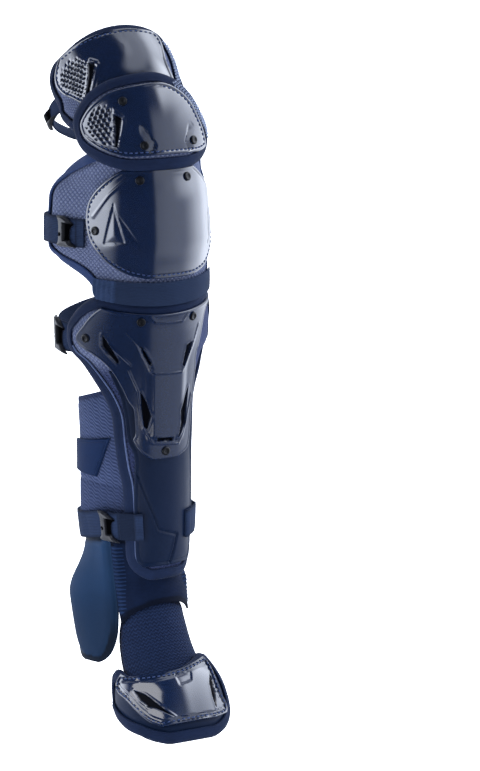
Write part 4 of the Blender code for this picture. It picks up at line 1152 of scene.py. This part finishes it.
def patch_relief(angle, along, edge):
    return PATCH_CROWN * smooth(edge, 1.0, 6.0), 0.0 * edge


patch_skin = satin_finish("navy patch skin", (0.0028, 0.0078, 0.0260), 0.5, gloss=0.03)
calf_badge = plate("calf_bare_patch", CALF_PATCH, patch_inner, patch_outer, patch_skin, patch_relief,
                   stitched=2.4)
place(calf_badge, "panel", "calf_patch")

# Ankle guard.
# A smooth moulded side guard in synthetic leather that stands well off the ankle bone.
ANKLE_TUCK = -1.0
ANKLE_LIFT = 6.5
ANKLE_FLARE = 22.5
ANKLE_STAND = 2.6
ANKLE_WING = [
    (72.6, -115, -66.0, -0.5, 0.0), (75.2, -116, -65.4, -0.2, 0.0), (77.6, -117, -65.4),
    (79.4, -117, -65.4), (81.6, -117, -67.0), (83.3, -116, -71.0, 0.2, 0.0),
    (84.4, -113, -75.5, 0.3, 0.0), (85.2, -109, -80.5, 0.4, 0.0), (85.7, -104, -86.0, 0.4, 0.0),
    (85.9, -99, -91.0, 0.3, 0.0),
]
ANKLE_SLATE = (0.0041, 0.0132, 0.0345)


def ankle_lift(angle, along):
    far = ANKLE_LIFT + ANKLE_FLARE * smooth(along, 73.5, 79.5)
    return ANKLE_TUCK + (far - ANKLE_TUCK) * smooth(-angle, 62.0, 112.0)


ankle_outer = above(ankle_lift, WING_THICKNESS)


def ankle_shape(angle, along, edge):
    """The front part stands up towards the cuff."""
    return ANKLE_STAND * smooth(angle, -88.0, -69.0) * smooth(edge, 0.5, 4.0)


def ankle_shade(angle, along, edge):
    """Painted shade along the turned edge behind and below, and painted shade that darkens it towards the
    foot.
    """
    sides = np.maximum(smooth(angle, -73.0, -79.0), smooth(along, 80.0, 84.5))
    return np.maximum(rim_painted_shade(angle, along, edge) * sides, 0.45 * smooth(along, 76.0, 83.0))


ankle_skin = satin_finish("smooth slate leather", ANKLE_SLATE, 0.45, gloss=0.04)
ankle_guard = pad("ankle_guard", ANKLE_WING, ankle_lift, ankle_outer, ankle_skin, lining, pinch=2.4,
                  shape=ankle_shape, shade=ankle_shade)
place(ankle_guard, "smooth_skin", "ankle_wing")

# Ankle cuff and tongue.
# The cuff is a navy collar with ribbed elastic at both ends and an arched lower edge. The quilted
# tongue comes out from under it and runs over the instep.
CUFF_THICKNESS = 3.8
INSTEP_THICKNESS = 4.0
RIGHT_RISE = 1.2
INSTEP_TUCK = 3.0
INSTEP_GAP = 0.6
INSTEP_DIP = 0.7
ANKLE_CUFF = [
    (72.4, -64.0, 60, 0.2, 0.0), (75.6, -64.2, 62), (77.6, -64.2, 66), (79.2, -64.2, 65, 0.0, 0.9),
    (80.8, -63.0, 61, -0.3, 1.8),
]
RIB_PITCH = 3.6
RIB_HEIGHT = 0.6
RIB_SEAT = 1.4
RIB_PROUD = 0.3
CUFF_LEFT_RIBS = [(73.2, -63, -49), (77.0, -63.2, -48), (81.6, -62.6, -50, -0.4, 0.0)]
CUFF_RIGHT_RIBS = [(77.2, 47, 63), (79.4, 46, 62.4, 0.3, 0.0), (81.0, 48, 59.6, 0.4, 0.0)]
INSTEP = [
    (80.0, -58, 44, 0.2, 1.2), (81.8, -67, 46, 0.2, 0.8), (83.6, -76, 48, 0.0, 0.2), (85.3, -81, 49),
    (87.0, -83, 51), (88.8, -80, 53), (91.0, -70, 50),
]


def cuff_lift(angle, along):
    down = along + RIGHT_RISE * smooth(angle, 46.0, 60.0)
    return -(CUFF_THICKNESS + LAYER_GAP) * smooth(down, 79.8, 77.6) * smooth(angle, -60.0, -48.0)


cuff_outer = above(cuff_lift, CUFF_THICKNESS)
ribs_inner = above(cuff_outer, -RIB_SEAT)
ribs_outer = above(cuff_outer, RIB_PROUD)


def rib_cosine(along):
    return np.cos(along * MM_PER_PERCENT * math.tau / RIB_PITCH)


def rib_wave(angle, along, edge):
    return RIB_HEIGHT * rib_cosine(along) * smooth(edge, 0.6, 1.6)


def rib_shade(angle, along, edge):
    """Painted shade between the ribs."""
    return 0.5 - 0.5 * rib_cosine(along)


def instep_lift(angle, along):
    level = -(INSTEP_THICKNESS + INSTEP_GAP) - INSTEP_DIP * smooth(along, 84.0, 87.0)
    return level - INSTEP_TUCK * smooth(along, 82.2, 80.0) + 0.0 * angle


instep_outer = above(instep_lift, INSTEP_THICKNESS)
cuff_cloth = webbing_finish("navy cuff cloth", (0.0016, 0.0045, 0.0155), 1.3, 1.3)
tongue_cloth = wave_finish("navy wave cloth", (0.0058, 0.0135, 0.0410), (0.0012, 0.0034, 0.0135), 3.6, 0.9,
                           8.0, 0.6)
# The collar's rim is darkened with painted shade.
ankle_collar = pad("ankle_collar", ANKLE_CUFF, cuff_lift, cuff_outer, cuff_cloth, lining, pinch=0.9,
                   shade=rim_painted_shade)
place(ankle_collar, "cuff_fabric", "ankle_cuff")
rib_elastic = webbing_finish("slate ribbed elastic", (0.0068, 0.0160, 0.0460), 1.1, 1.1)
for rib_name, table in (("left", CUFF_LEFT_RIBS), ("right", CUFF_RIGHT_RIBS)):
    ribs = pad(f"cuff_{rib_name}_ribs", table, ribs_inner, ribs_outer, rib_elastic, lining, pitch=0.9,
               pinch=0.5, shape=rib_wave, shade=rib_shade)
    place(ribs, "cuff_fabric")
# The tongue's rim is darkened with painted shade.
tongue = pad("quilted_tongue", INSTEP, instep_lift, instep_outer, tongue_cloth, lining, pinch=1.0,
             shade=rim_painted_shade)
place(tongue, "cuff_fabric", "instep")

# Toe guard.
# A padded toe piece in smooth synthetic leather with its edge tape, and a glossy plate sewn on it
# with two air slots and a stepped edge.
TOE_PAD_THICKNESS = 9.0
TOE_PAD = [
    (91.6, -84, 38, 0.4, -3.2), (92.2, -98, 44, 0.3, -2.6), (93.0, -102, 48, 0.2, -1.4),
    (94.1, -94, 50, 0.0, -0.6), (95.3, -79, 50, 0.0, -0.2), (96.7, -60, 46), (97.8, -44, 37),
    (98.6, -26, 22),
]
TOE_SHELL = [
    (90.8, -66, 27, 0.4, -1.9), (91.6, -76, 31, 0.5, -1.8), (92.8, -74, 32, 0.8, -1.2),
    (94.2, -63, 34, 0.7, -0.6), (95.5, -53, 38, 0.5, -0.3), (96.7, -42, 35, 0.3, 0.0), (97.4, -32, 20),
]
TOE_SLOTS = [
    [(-52.0, 91.8), (-40.0, 93.0), (-18.0, 96.4), (-33.0, 94.9), (-41.0, 94.5), (-42.0, 94.1), (-47.0, 93.4)],
    [(26.0, 91.6), (27.0, 93.1), (22.5, 96.2), (21.0, 94.6), (21.5, 93.0)],
]
TOE_STITCH_INSET = 3.2
TOE_STEP = 1.0
TOE_SLOT_DEPTH = 1.8
TOE_RECESS_DEPTH = 0.9
TOE_TILT = 1.8             # rise of the outer lobe's facet towards its lower edge
TOE_RECESS = [(-11.0, 91.2), (6.0, 91.4), (4.0, 92.4), (-8.0, 92.7)]

toe_pad_outer = above(leg_face, TOE_PAD_THICKNESS)
toe_plate_inner = above(toe_pad_outer, BINDING_PROUD + LAYER_GAP)
toe_plate_outer = above(toe_plate_inner, PLATE_THICKNESS)


def toe_relief(angle, along, edge):
    shape, pit = slots_relief(angle, along, TOE_SLOTS, depth=TOE_SLOT_DEPTH, lip=0.3)
    step = TOE_STEP * smooth(edge, 7.2, 6.2)
    recess = TOE_RECESS_DEPTH * smooth(area_depth(angle, along, TOE_RECESS), -0.4, 0.8)
    lobe = TOE_TILT * smooth(angle, -10.0, -26.0) * smooth(along - 0.06 * (angle + 60.0), 91.0, 95.5)
    return shape - step - recess + lobe, pit


toe_backing = pad("toe_backing", TOE_PAD, leg_face, toe_pad_outer, panel_skin, lining, pinch=2.0)
place(toe_backing, "smooth_skin", "toe_pad")
toe_tape = edge_tape("toe_edge_tape", TOE_PAD, leg_face, toe_pad_outer, navy_tape)
place(toe_tape, "edge_tape", "toe_binding")
toe_plate = plate("toe_plate", TOE_SHELL, toe_plate_inner, toe_plate_outer, navy_lacquer, toe_relief,
                  stitched=TOE_STITCH_INSET)
place(toe_plate, "shell", "toe_shell")
toe_stitches = stitch_row("toe_stitches", *inset_loop(TOE_SHELL, TOE_STITCH_INSET), toe_plate_outer, thread)
place(toe_stitches, "edge_tape")

# Straps.
# Slate elastic webbing that runs round the back of the leg, with each end sewn to a pad and one
# side in a clip. The toe strap passes under the sole.
STRAP_WIDTH = 28.0
THIGH_STRAP_WIDTH = 24.0
TOE_STRAP_WIDTH = 18.0
STRAP_THICKNESS = 2.0
STRAP_LIFT = 10.0
STRAP_SEAT_GAP = 0.5
WEB_BLUE = (0.0080, 0.0142, 0.0340)
LOOP_HALF = 4.5
LOOP_RISE = 1.5
TAIL_LENGTH = 28.0
# Columns: angle (degrees), along (percent), height of the inner face off the leg (share of STRAP_LIFT).
THIGH_STRAP = [
    (-74, 5.4, -0.30), (-92, 5.0, 0.30), (-99, 4.7, 0.75), (-107, 4.4, 1.35), (-116, 4.2, 1.80),
    (-125, 4.1, 1.75), (-142, 4.2, 1.20), (-180, 4.8, 0.20), (-230, 5.4, 0.20), (-280, 6.4, 0.20),
    (-310, 7.0, -0.10), (-338, 7.0, -0.36),
]
KNEE_STRAP = [
    (-70, 30.2, 1.17), (-82, 30.2, 1.40), (-94, 30.1, 1.90), (-107, 30.1, 2.60), (-116, 30.1, 2.70),
    (-132, 30.0, 1.50), (-155, 30.0, 0.50), (-190, 30.0, 0.25), (-225, 30.0, 0.60), (-248, 30.0, 1.80),
    (-268, 30.0, 2.00), (-280, 30.1, 1.50), (-293, 30.1, 1.15),
]
SHIN_STRAP = [
    (-66, 45.6, 0.00), (-84, 46.1, 0.20), (-96, 46.4, 0.80), (-108, 46.6, 1.20), (-122, 46.6, 1.10),
    (-150, 46.4, 0.40), (-190, 46.0, 0.20), (-230, 45.8, 0.40), (-258, 45.8, 0.60), (-276, 45.8, 0.20),
    (-294, 45.8, 0.00),
]
CALF_STRAP = [
    (-22, 70.0, 1.15), (-34, 70.0, 1.10), (-43, 70.0, 1.06), (-54, 70.1, 0.90), (-70, 70.2, 0.75),
    (-90, 70.8, 0.95), (-106, 71.2, 1.15), (-118, 71.4, 1.25), (-138, 71.4, 0.80), (-180, 71.2, 0.30),
    (-230, 70.8, 0.30), (-270, 70.5, 0.40), (-292, 70.4, 0.75), (-304, 70.4, 1.00), (-316, 70.4, 1.05),
    (-332, 70.4, 1.10),
]
TOE_STRAP = [
    (-58, 95.0, -0.46), (-78, 94.9, -0.44), (-98, 94.8, -0.10), (-130, 94.6, 0.00), (-170, 94.4, 0.00),
    (-215, 94.2, 0.00), (-260, 93.8, 0.00), (-296, 93.5, -0.10), (-330, 93.3, -0.34),
]


def front_angle(angle):
    return np.where(angle > -180.0, angle, angle + 360.0)


def under_face(face, angle, along):
    return face(angle, along) - STRAP_THICKNESS - LAYER_GAP


def thigh_strap_seat(angle, along, height):
    ends = (angle > -99.0) | (angle < -322.0)
    return np.where(ends, np.minimum(height, under_face(thigh_lift, front_angle(angle), along)), height)


def knee_strap_seat(angle, along, height):
    ends = (angle > -116.0) | (angle < -266.0)
    seat = knee_pad_outer(front_angle(angle), along) + BINDING_PROUD + STRAP_SEAT_GAP
    return np.where(ends, np.maximum(height, seat), height)


def shin_strap_seat(angle, along, height):
    ends = (angle > -90.0) | (angle < -274.0)
    return np.where(ends, np.minimum(height, under_face(shin_lobe, front_angle(angle), along)), height)


def calf_strap_seat(angle, along, height):
    on_panel = (angle > -45.0) | (angle < -299.0)
    panel = np.maximum(height, panel_outer(0.0 * angle, along) + LAYER_GAP)
    flap = np.maximum(height, calf_outer(angle, along) + LAYER_GAP)
    return np.where(on_panel, panel, np.where(angle > -119.0, flap, height))


def toe_strap_seat(angle, along, height):
    ends = (angle > -114.0) | (angle < -298.0)
    return np.where(ends, np.minimum(height, under_face(leg_face, angle, along)), height)


def strap_band(name, table, width, seat, material, tail=0.0, columns=17):
    """Webbing along its table of places, with dark selvedges and a sewn bar at each end.

    tail is how much darker its first part is; its ends are then turned into loops.
    """
    index = np.linspace(0, len(table) - 1, (len(table) - 1) * 20 + 1)
    path = curve_rows(table, index)
    across = np.linspace(-1.0, 1.0, columns)
    angle = path[:, 0:1] + 0.0 * across
    along = path[:, 1:2] + across * width / FRONT_LINE * 50.0
    low = seat(angle, along, path[:, 2:3] * STRAP_LIFT)
    inner = leg_point(angle, along, low)
    middle = inner[:, columns // 2]
    run = np.concatenate(((0.0,), np.cumsum(np.linalg.norm(np.diff(middle, axis=0), axis=1)))) / MM
    run = run[:, None] + 0.0 * across
    end = np.minimum(run, run[-1] - run)
    thick = STRAP_THICKNESS * (1.0 - 0.25 * np.abs(across) ** 6)
    if tail:
        thick = thick + LOOP_RISE * np.sqrt(np.clip(1.0 - ((end - LOOP_HALF) / LOOP_HALF) ** 2, 0.0, 1.0))
    bar = 0.8 * smooth(np.abs(end - 2.0 * LOOP_HALF - 1.0), 1.3, 0.5)
    dark = np.maximum(0.85 * smooth(np.abs(across), 0.80, 0.93), bar)
    dark = np.maximum(dark, tail * smooth(run, TAIL_LENGTH, TAIL_LENGTH - 2.0) * smooth(run, 6.0, 9.0))
    outer = leg_point(angle, along, low + thick)
    flat = (run, 0.0 * run + across * width * 0.5)
    return wall(name, inner[::-1], outer[::-1], material, (flat[0][::-1], flat[1][::-1]), dark[::-1])


webbing = webbing_finish("slate elastic webbing", WEB_BLUE)
for strap_name, table, width, seat, tail, node in (
        ("thigh_webbing", THIGH_STRAP, THIGH_STRAP_WIDTH, thigh_strap_seat, 0.0, "thigh_strap"),
        ("knee_webbing", KNEE_STRAP, STRAP_WIDTH, knee_strap_seat, 0.0, "knee_strap"),
        ("shin_webbing", SHIN_STRAP, STRAP_WIDTH, shin_strap_seat, 0.0, "shin_strap"),
        ("calf_webbing", CALF_STRAP, STRAP_WIDTH, calf_strap_seat, 0.8, "calf_strap"),
        ("toe_webbing", TOE_STRAP, TOE_STRAP_WIDTH, toe_strap_seat, 0.0, "toe_strap")):
    strap = strap_band(strap_name, table, width, seat, webbing, tail)
    place(strap, "webbing", node)

# Clips.
# Black moulded plastic clips on the straps: a curved bar with a hook at each end and a gap behind it.
BUCKLE_LENGTH = 26.0
BUCKLE_THICKNESS = 5.0
BUCKLE_RIM = 1.5
BUCKLE_BLACK = (0.0065, 0.0072, 0.0100)
# The clip's outline. Columns: place up it, left and right side (shares of half its height and length).
CLIP_OUTLINE = [
    (-1.0, -0.94, -0.40), (-0.86, -0.80, -0.02), (-0.66, -0.70, 0.36), (-0.46, -0.66, 0.66),
    (-0.30, -0.65, 0.40), (0.10, -0.66, 0.27), (0.46, -0.66, 0.30), (0.70, -0.74, 0.46),
    (0.86, -0.90, 0.80), (1.0, -0.64, 1.0),
]
CLIP_GAP = -0.10           # place of the gap's side, and the place and radius of the hole
CLIP_HOLE = (-0.40, 0.12, 1.9)


def strap_face(table, seat):
    """The height a clip sits at, over its strap."""
    rows = np.array(table)[::-1]

    def height(angle, along):
        lift = np.interp(angle, rows[:, 0], rows[:, 2])
        return seat(angle, along, lift * STRAP_LIFT) + STRAP_THICKNESS + LAYER_GAP
    return height


def clip_piece(name, face, angle, along, width, material):
    """A clip that follows its strap."""
    half_tall = (width * 0.5 + BUCKLE_RIM) / FRONT_LINE * 100.0
    ends = leg_point(np.array([angle - 1.0, angle + 1.0]), np.array([along, along]),
                     face(np.array([angle, angle]), np.array([along, along])))
    half_turn = BUCKLE_LENGTH * MM / np.linalg.norm(ends[1] - ends[0])
    table = [(along + level * half_tall, angle + half_turn * left, angle + half_turn * right_side)
             for level, left, right_side in CLIP_OUTLINE]
    turn, drop = patch_grid(table, 0.6)
    edge = rim_distance(turn, drop, 10.0)
    x = (turn - angle) / half_turn
    y = (drop - along) / half_tall
    gap = smooth(x, CLIP_GAP - 0.06, CLIP_GAP + 0.04) * smooth(np.abs(y + 0.02), 0.60, 0.48)
    hole_x, hole_y, hole_radius = CLIP_HOLE
    away = np.hypot((x - hole_x) * BUCKLE_LENGTH, (y - hole_y) * (width + 2.0 * BUCKLE_RIM)) * 0.5
    # The gap and the hole are the pits, darkened as painted shade.
    pit = np.maximum(gap, smooth(away, hole_radius, hole_radius - 0.6))
    crown = 0.10 * smooth(edge, 1.0, 4.5)
    raised = 0.62 * np.sqrt(np.clip(edge / 1.6, 0.0, 1.0)) + crown
    level = 0.18 + raised * (1.0 - pit)
    low = face(turn, drop)
    high = low + BUCKLE_THICKNESS * level
    return wall(name, leg_point(turn, drop, low), leg_point(turn, drop, high), material,
                flat_mm(turn, drop), pit)


def plastic_finish(name, colour, roughness, gloss=0.16):
    """Black moulded plastic with a fine spark texture, rubbed places and dull pits darkened with painted
    shade.
    """
    material, tree, shader = new_finish(name, colour, roughness)
    vector = flat_place(tree)[0]
    spark = cloud(tree, vector, 2.2, 4.0, 0.7)
    rubbed = cloud(tree, vector, 0.12, 4.0)
    tree.links.new(calc(tree, "MULTIPLY_ADD", rubbed, 0.25, roughness - 0.1), shader.inputs["Roughness"])
    body = mix_colour(tree, calc(tree, "MULTIPLY", spark, rubbed), colour, tinted(colour, 3.0))
    paint(tree, shader, body, tinted(colour, 0.1))
    tree.links.new(calc(tree, "MULTIPLY_ADD", pit_place(tree), -gloss, gloss),
                   shader.inputs["Specular IOR Level"])
    bump_in(tree, shader, spark, 0.05)
    return material


clip_black = plastic_finish("black moulded plastic", BUCKLE_BLACK, 0.35, 0.30)
for clip_name, table, seat, angle, along, width, node in (
        ("thigh_clip", THIGH_STRAP, thigh_strap_seat, -115.0, 4.2, THIGH_STRAP_WIDTH, "thigh_buckle"),
        ("knee_clip", KNEE_STRAP, knee_strap_seat, -84.0, 30.1, STRAP_WIDTH, "knee_buckle"),
        ("shin_clip", SHIN_STRAP, shin_strap_seat, -103.0, 46.5, STRAP_WIDTH, "shin_buckle"),
        ("calf_clip", CALF_STRAP, calf_strap_seat, -58.0, 70.2, STRAP_WIDTH, "calf_buckle")):
    clip = clip_piece(clip_name, strap_face(table, seat), angle, along, width, clip_black)
    place(clip, "buckle", node)

# Rivets.
# Black rivet heads with a rolled edge and a shallow cup, set through the plates.
RIVET_RADIUS = 4.4
RIVET_HEIGHT = 1.6
RIVET_SEAT_GAP = 0.5
# Columns: level (share of the height), radius (share of the radius).
RIVET_TURNING = [
    (0.0, 0.90), (0.08, 1.0), (0.45, 1.0), (0.72, 0.93), (0.90, 0.80), (0.95, 0.66), (0.86, 0.52),
    (0.52, 0.40), (0.48, 0.20),
]
RIVET_SIDES = 28
RIVETS = [
    ("upper_knee_rivet_top", -30, 13.3, cap_plate_outer),
    ("upper_knee_rivet_left", -19, 18.8, cap_plate_outer),
    ("upper_knee_rivet_right", 22, 18.6, cap_plate_outer),
    ("knee_rivet_left", -23, 23.2, knee_plate_outer),
    ("knee_rivet_right", 19, 23.1, knee_plate_outer),
    ("knee_rivet_side", -58, 29.6, knee_plate_outer),
    ("shin_rivet_side", -63, 44.9, shin_plate_outer),
    ("shin_rivet_left", -21, 41.6, shin_plate_outer),
    ("shin_rivet_right", 23, 41.6, shin_plate_outer),
    ("shin_rivet_low", 1, 59.6, shin_plate_outer),
]


def rivet_head(name, face, angle, along, material):
    """A turned rivet head on a plate's face."""
    origin, around, down, outward = face_frame(face, np.array([float(angle)]), np.array([float(along)]))
    origin = origin[0] + outward[0] * RIVET_SEAT_GAP * MM
    turn = np.linspace(0.0, math.tau, RIVET_SIDES, endpoint=False)[:, None]
    rings = []
    for level, radius in RIVET_TURNING:
        spread = around[0] * np.cos(turn) + down[0] * np.sin(turn)
        rings.append(origin + (spread * radius * RIVET_RADIUS + outward[0] * level * RIVET_HEIGHT) * MM)
    rings = np.array(rings)
    return ring_sweep(name, rings, material, rings.reshape(-1, 3) / MM, closed=False, sharp=60.0)


rivet_black = plastic_finish("black rivet", (0.0016, 0.0020, 0.0032), 0.35)
for node, angle, along, face in RIVETS:
    head = rivet_head(node.replace("rivet", "stud"), face, angle, along, rivet_black)
    place(head, "rivet", node)

# Studio.
# A pale floor well below the guard, which is held up as it is worn, and soft light from large boxes.
FLOOR_DROP = 0.10
FLOOR_GLOW = 0.95
PHOTO_AZIMUTH = -27.0
PHOTO_ELEVATION = 14.0
PHOTO_DISTANCE = 3.0
PHOTO_HEIGHT = 771.0       # pixels, each 1 mm wide at the leg's axis
SENSOR_HEIGHT = 36.0
AIM_RIGHT = 0.105
AIM_UP = -0.1755

az = math.radians(PHOTO_AZIMUTH)
el = math.radians(PHOTO_ELEVATION)
back = Vector((math.sin(az) * math.cos(el), -math.cos(az) * math.cos(el), math.sin(el)))
right = Vector((math.cos(az), math.sin(az), 0.0))
up = back.cross(right)
aim = right * AIM_RIGHT + up * AIM_UP
camera_data = bpy.data.cameras.new("photo camera")
camera_data.sensor_fit = "VERTICAL"
camera_data.sensor_height = SENSOR_HEIGHT
camera_data.lens = PHOTO_DISTANCE / MM * SENSOR_HEIGHT / PHOTO_HEIGHT
camera = bpy.data.objects.new("photo camera", camera_data)
camera.location = aim + back * PHOTO_DISTANCE
camera.rotation_euler = back.to_track_quat("Z", "Y").to_euler()
bpy.context.scene.collection.objects.link(camera)
bpy.context.scene.camera = camera

floor_mesh = bpy.data.meshes.new("pale floor")
FLOOR_HALF = 60.0
floor_z = cad_bounds[0][2] - FLOOR_DROP
corners = [(x * FLOOR_HALF, y * FLOOR_HALF, floor_z) for x, y in ((-1, -1), (1, -1), (1, 1), (-1, 1))]
floor_mesh.from_pydata(corners, [], [(0, 1, 2, 3)])
floor = bpy.data.objects.new("pale floor", floor_mesh)
floor_material, floor_tree, floor_shader = new_finish("pale floor", (0.90, 0.90, 0.91), 0.9)
floor_shader.inputs["Emission Color"].default_value = (1.0, 1.0, 1.0, 1.0)
floor_shader.inputs["Emission Strength"].default_value = FLOOR_GLOW
grit = cloud(floor_tree, add(floor_tree, "ShaderNodeTexCoord").outputs["Object"], 6.0, 4.0)
floor_tree.links.new(mix_colour(floor_tree, grit, (0.88, 0.88, 0.89), (0.92, 0.92, 0.93)),
                     floor_shader.inputs["Base Color"])
floor.visible_glossy = False
floor_mesh.materials.append(floor_material)
bpy.context.scene.collection.objects.link(floor)

# The soft boxes of the studio, as directions from the guard. Columns: azimuth from, to and edge,
# elevation from, to and edge (degrees), brightness.
SOFT_BOXES = [
    (-2.0, 150.0, 4.0, -34.0, 27.0, 9.0, 1.0), (-2.0, 150.0, 4.0, -80.0, -34.0, 10.0, 0.4),
    (10.0, 150.0, 22.0, -34.0, 60.0, 12.0, 0.4), (21.0, 150.0, 6.0, 27.0, 64.0, 9.0, 0.9),
    (21.0, 84.0, 7.0, 30.0, 50.0, 11.0, 5.4), (64.0, 122.0, 18.0, -30.0, 62.0, 12.0, 2.5),
    (44.0, 100.0, 14.0, 12.0, 32.0, 8.0, 2.6),
    (-48.0, 150.0, 20.0, 66.0, 95.0, 5.0, 1.8), (56.0, 125.0, 12.0, 42.0, 62.0, 6.0, 1.6),
    (-185.0, 185.0, 2.0, 83.0, 95.0, 3.0, 0.5), (-150.0, -80.0, 13.0, -10.0, 24.0, 8.0, 6.2),
    (-150.0, -80.0, 13.0, -60.0, -10.0, 10.0, 1.4),
]
BACK_FROM = 150.0
BACK_BRIGHTNESS = 1.6
BOX_TINT = (0.92, 0.98, 1.10)
ROOM_GLOW = 0.05
WALL_WHITE = 1.0


def soft_span(tree, value, low, high, edge):
    """1 from low to high, falling softly to 0 outside."""
    rise, fall = (add(tree, "ShaderNodeMapRange", {0: value, 1: end - edge, 2: end + edge},
                      interpolation_type="SMOOTHSTEP").outputs[0] for end in (low, high))
    return calc(tree, "SUBTRACT", rise, fall)


world = bpy.data.worlds.new("studio")
world.use_nodes = True
bpy.context.scene.world = world
sky = world.node_tree
background = sky.nodes["Background"]
way = add(sky, "ShaderNodeSeparateXYZ", {0: add(sky, "ShaderNodeTexCoord").outputs["Generated"]})
forward = calc(sky, "MULTIPLY", way.outputs[1], -1.0)
azimuth = calc(sky, "DEGREES", calc(sky, "ARCTAN2", way.outputs[0], forward))
elevation = calc(sky, "DEGREES", calc(sky, "ARCSINE", way.outputs[2]))
behind = soft_span(sky, calc(sky, "ABSOLUTE", azimuth), BACK_FROM, 200.0, 10.0)
glow = calc(sky, "MULTIPLY_ADD", behind, BACK_BRIGHTNESS, ROOM_GLOW)
for left, right_end, turn_edge, low, high, rise_edge, brightness in SOFT_BOXES:
    box = calc(sky, "MULTIPLY", soft_span(sky, azimuth, left, right_end, turn_edge),
               soft_span(sky, elevation, low, high, rise_edge))
    glow = calc(sky, "MULTIPLY_ADD", box, brightness, glow)
seen = add(sky, "ShaderNodeLightPath").outputs["Is Camera Ray"]
whiter = calc(sky, "SUBTRACT", WALL_WHITE, glow)
sky.links.new(calc(sky, "MULTIPLY_ADD", whiter, seen, glow), background.inputs[1])
sky.links.new(mix_colour(sky, seen, BOX_TINT, (1.0, 1.0, 1.0)), background.inputs[0])
bpy.context.scene.view_settings.view_transform = "Standard"

# A small box close to the toe plate's outer lobe.
TOE_BOX_SIZE = (0.32, 0.14)
TOE_BOX_PLACE = (-0.185, -0.204, -0.336)
TOE_BOX_AIM = (-0.030, -0.160, -0.470)
TOE_BOX_BRIGHTNESS = 4.6
toe_box_data = bpy.data.lights.new("toe box", "AREA")
toe_box_data.shape = "RECTANGLE"
toe_box_data.size, toe_box_data.size_y = TOE_BOX_SIZE
toe_box_data.energy = TOE_BOX_BRIGHTNESS * math.pi * TOE_BOX_SIZE[0] * TOE_BOX_SIZE[1]
toe_box = bpy.data.objects.new("toe box", toe_box_data)
toe_box.location = TOE_BOX_PLACE
toe_box.rotation_euler = (Vector(TOE_BOX_PLACE) - Vector(TOE_BOX_AIM)).to_track_quat("Z", "Y").to_euler()
toe_box.visible_camera = False
bpy.context.scene.collection.objects.link(toe_box)
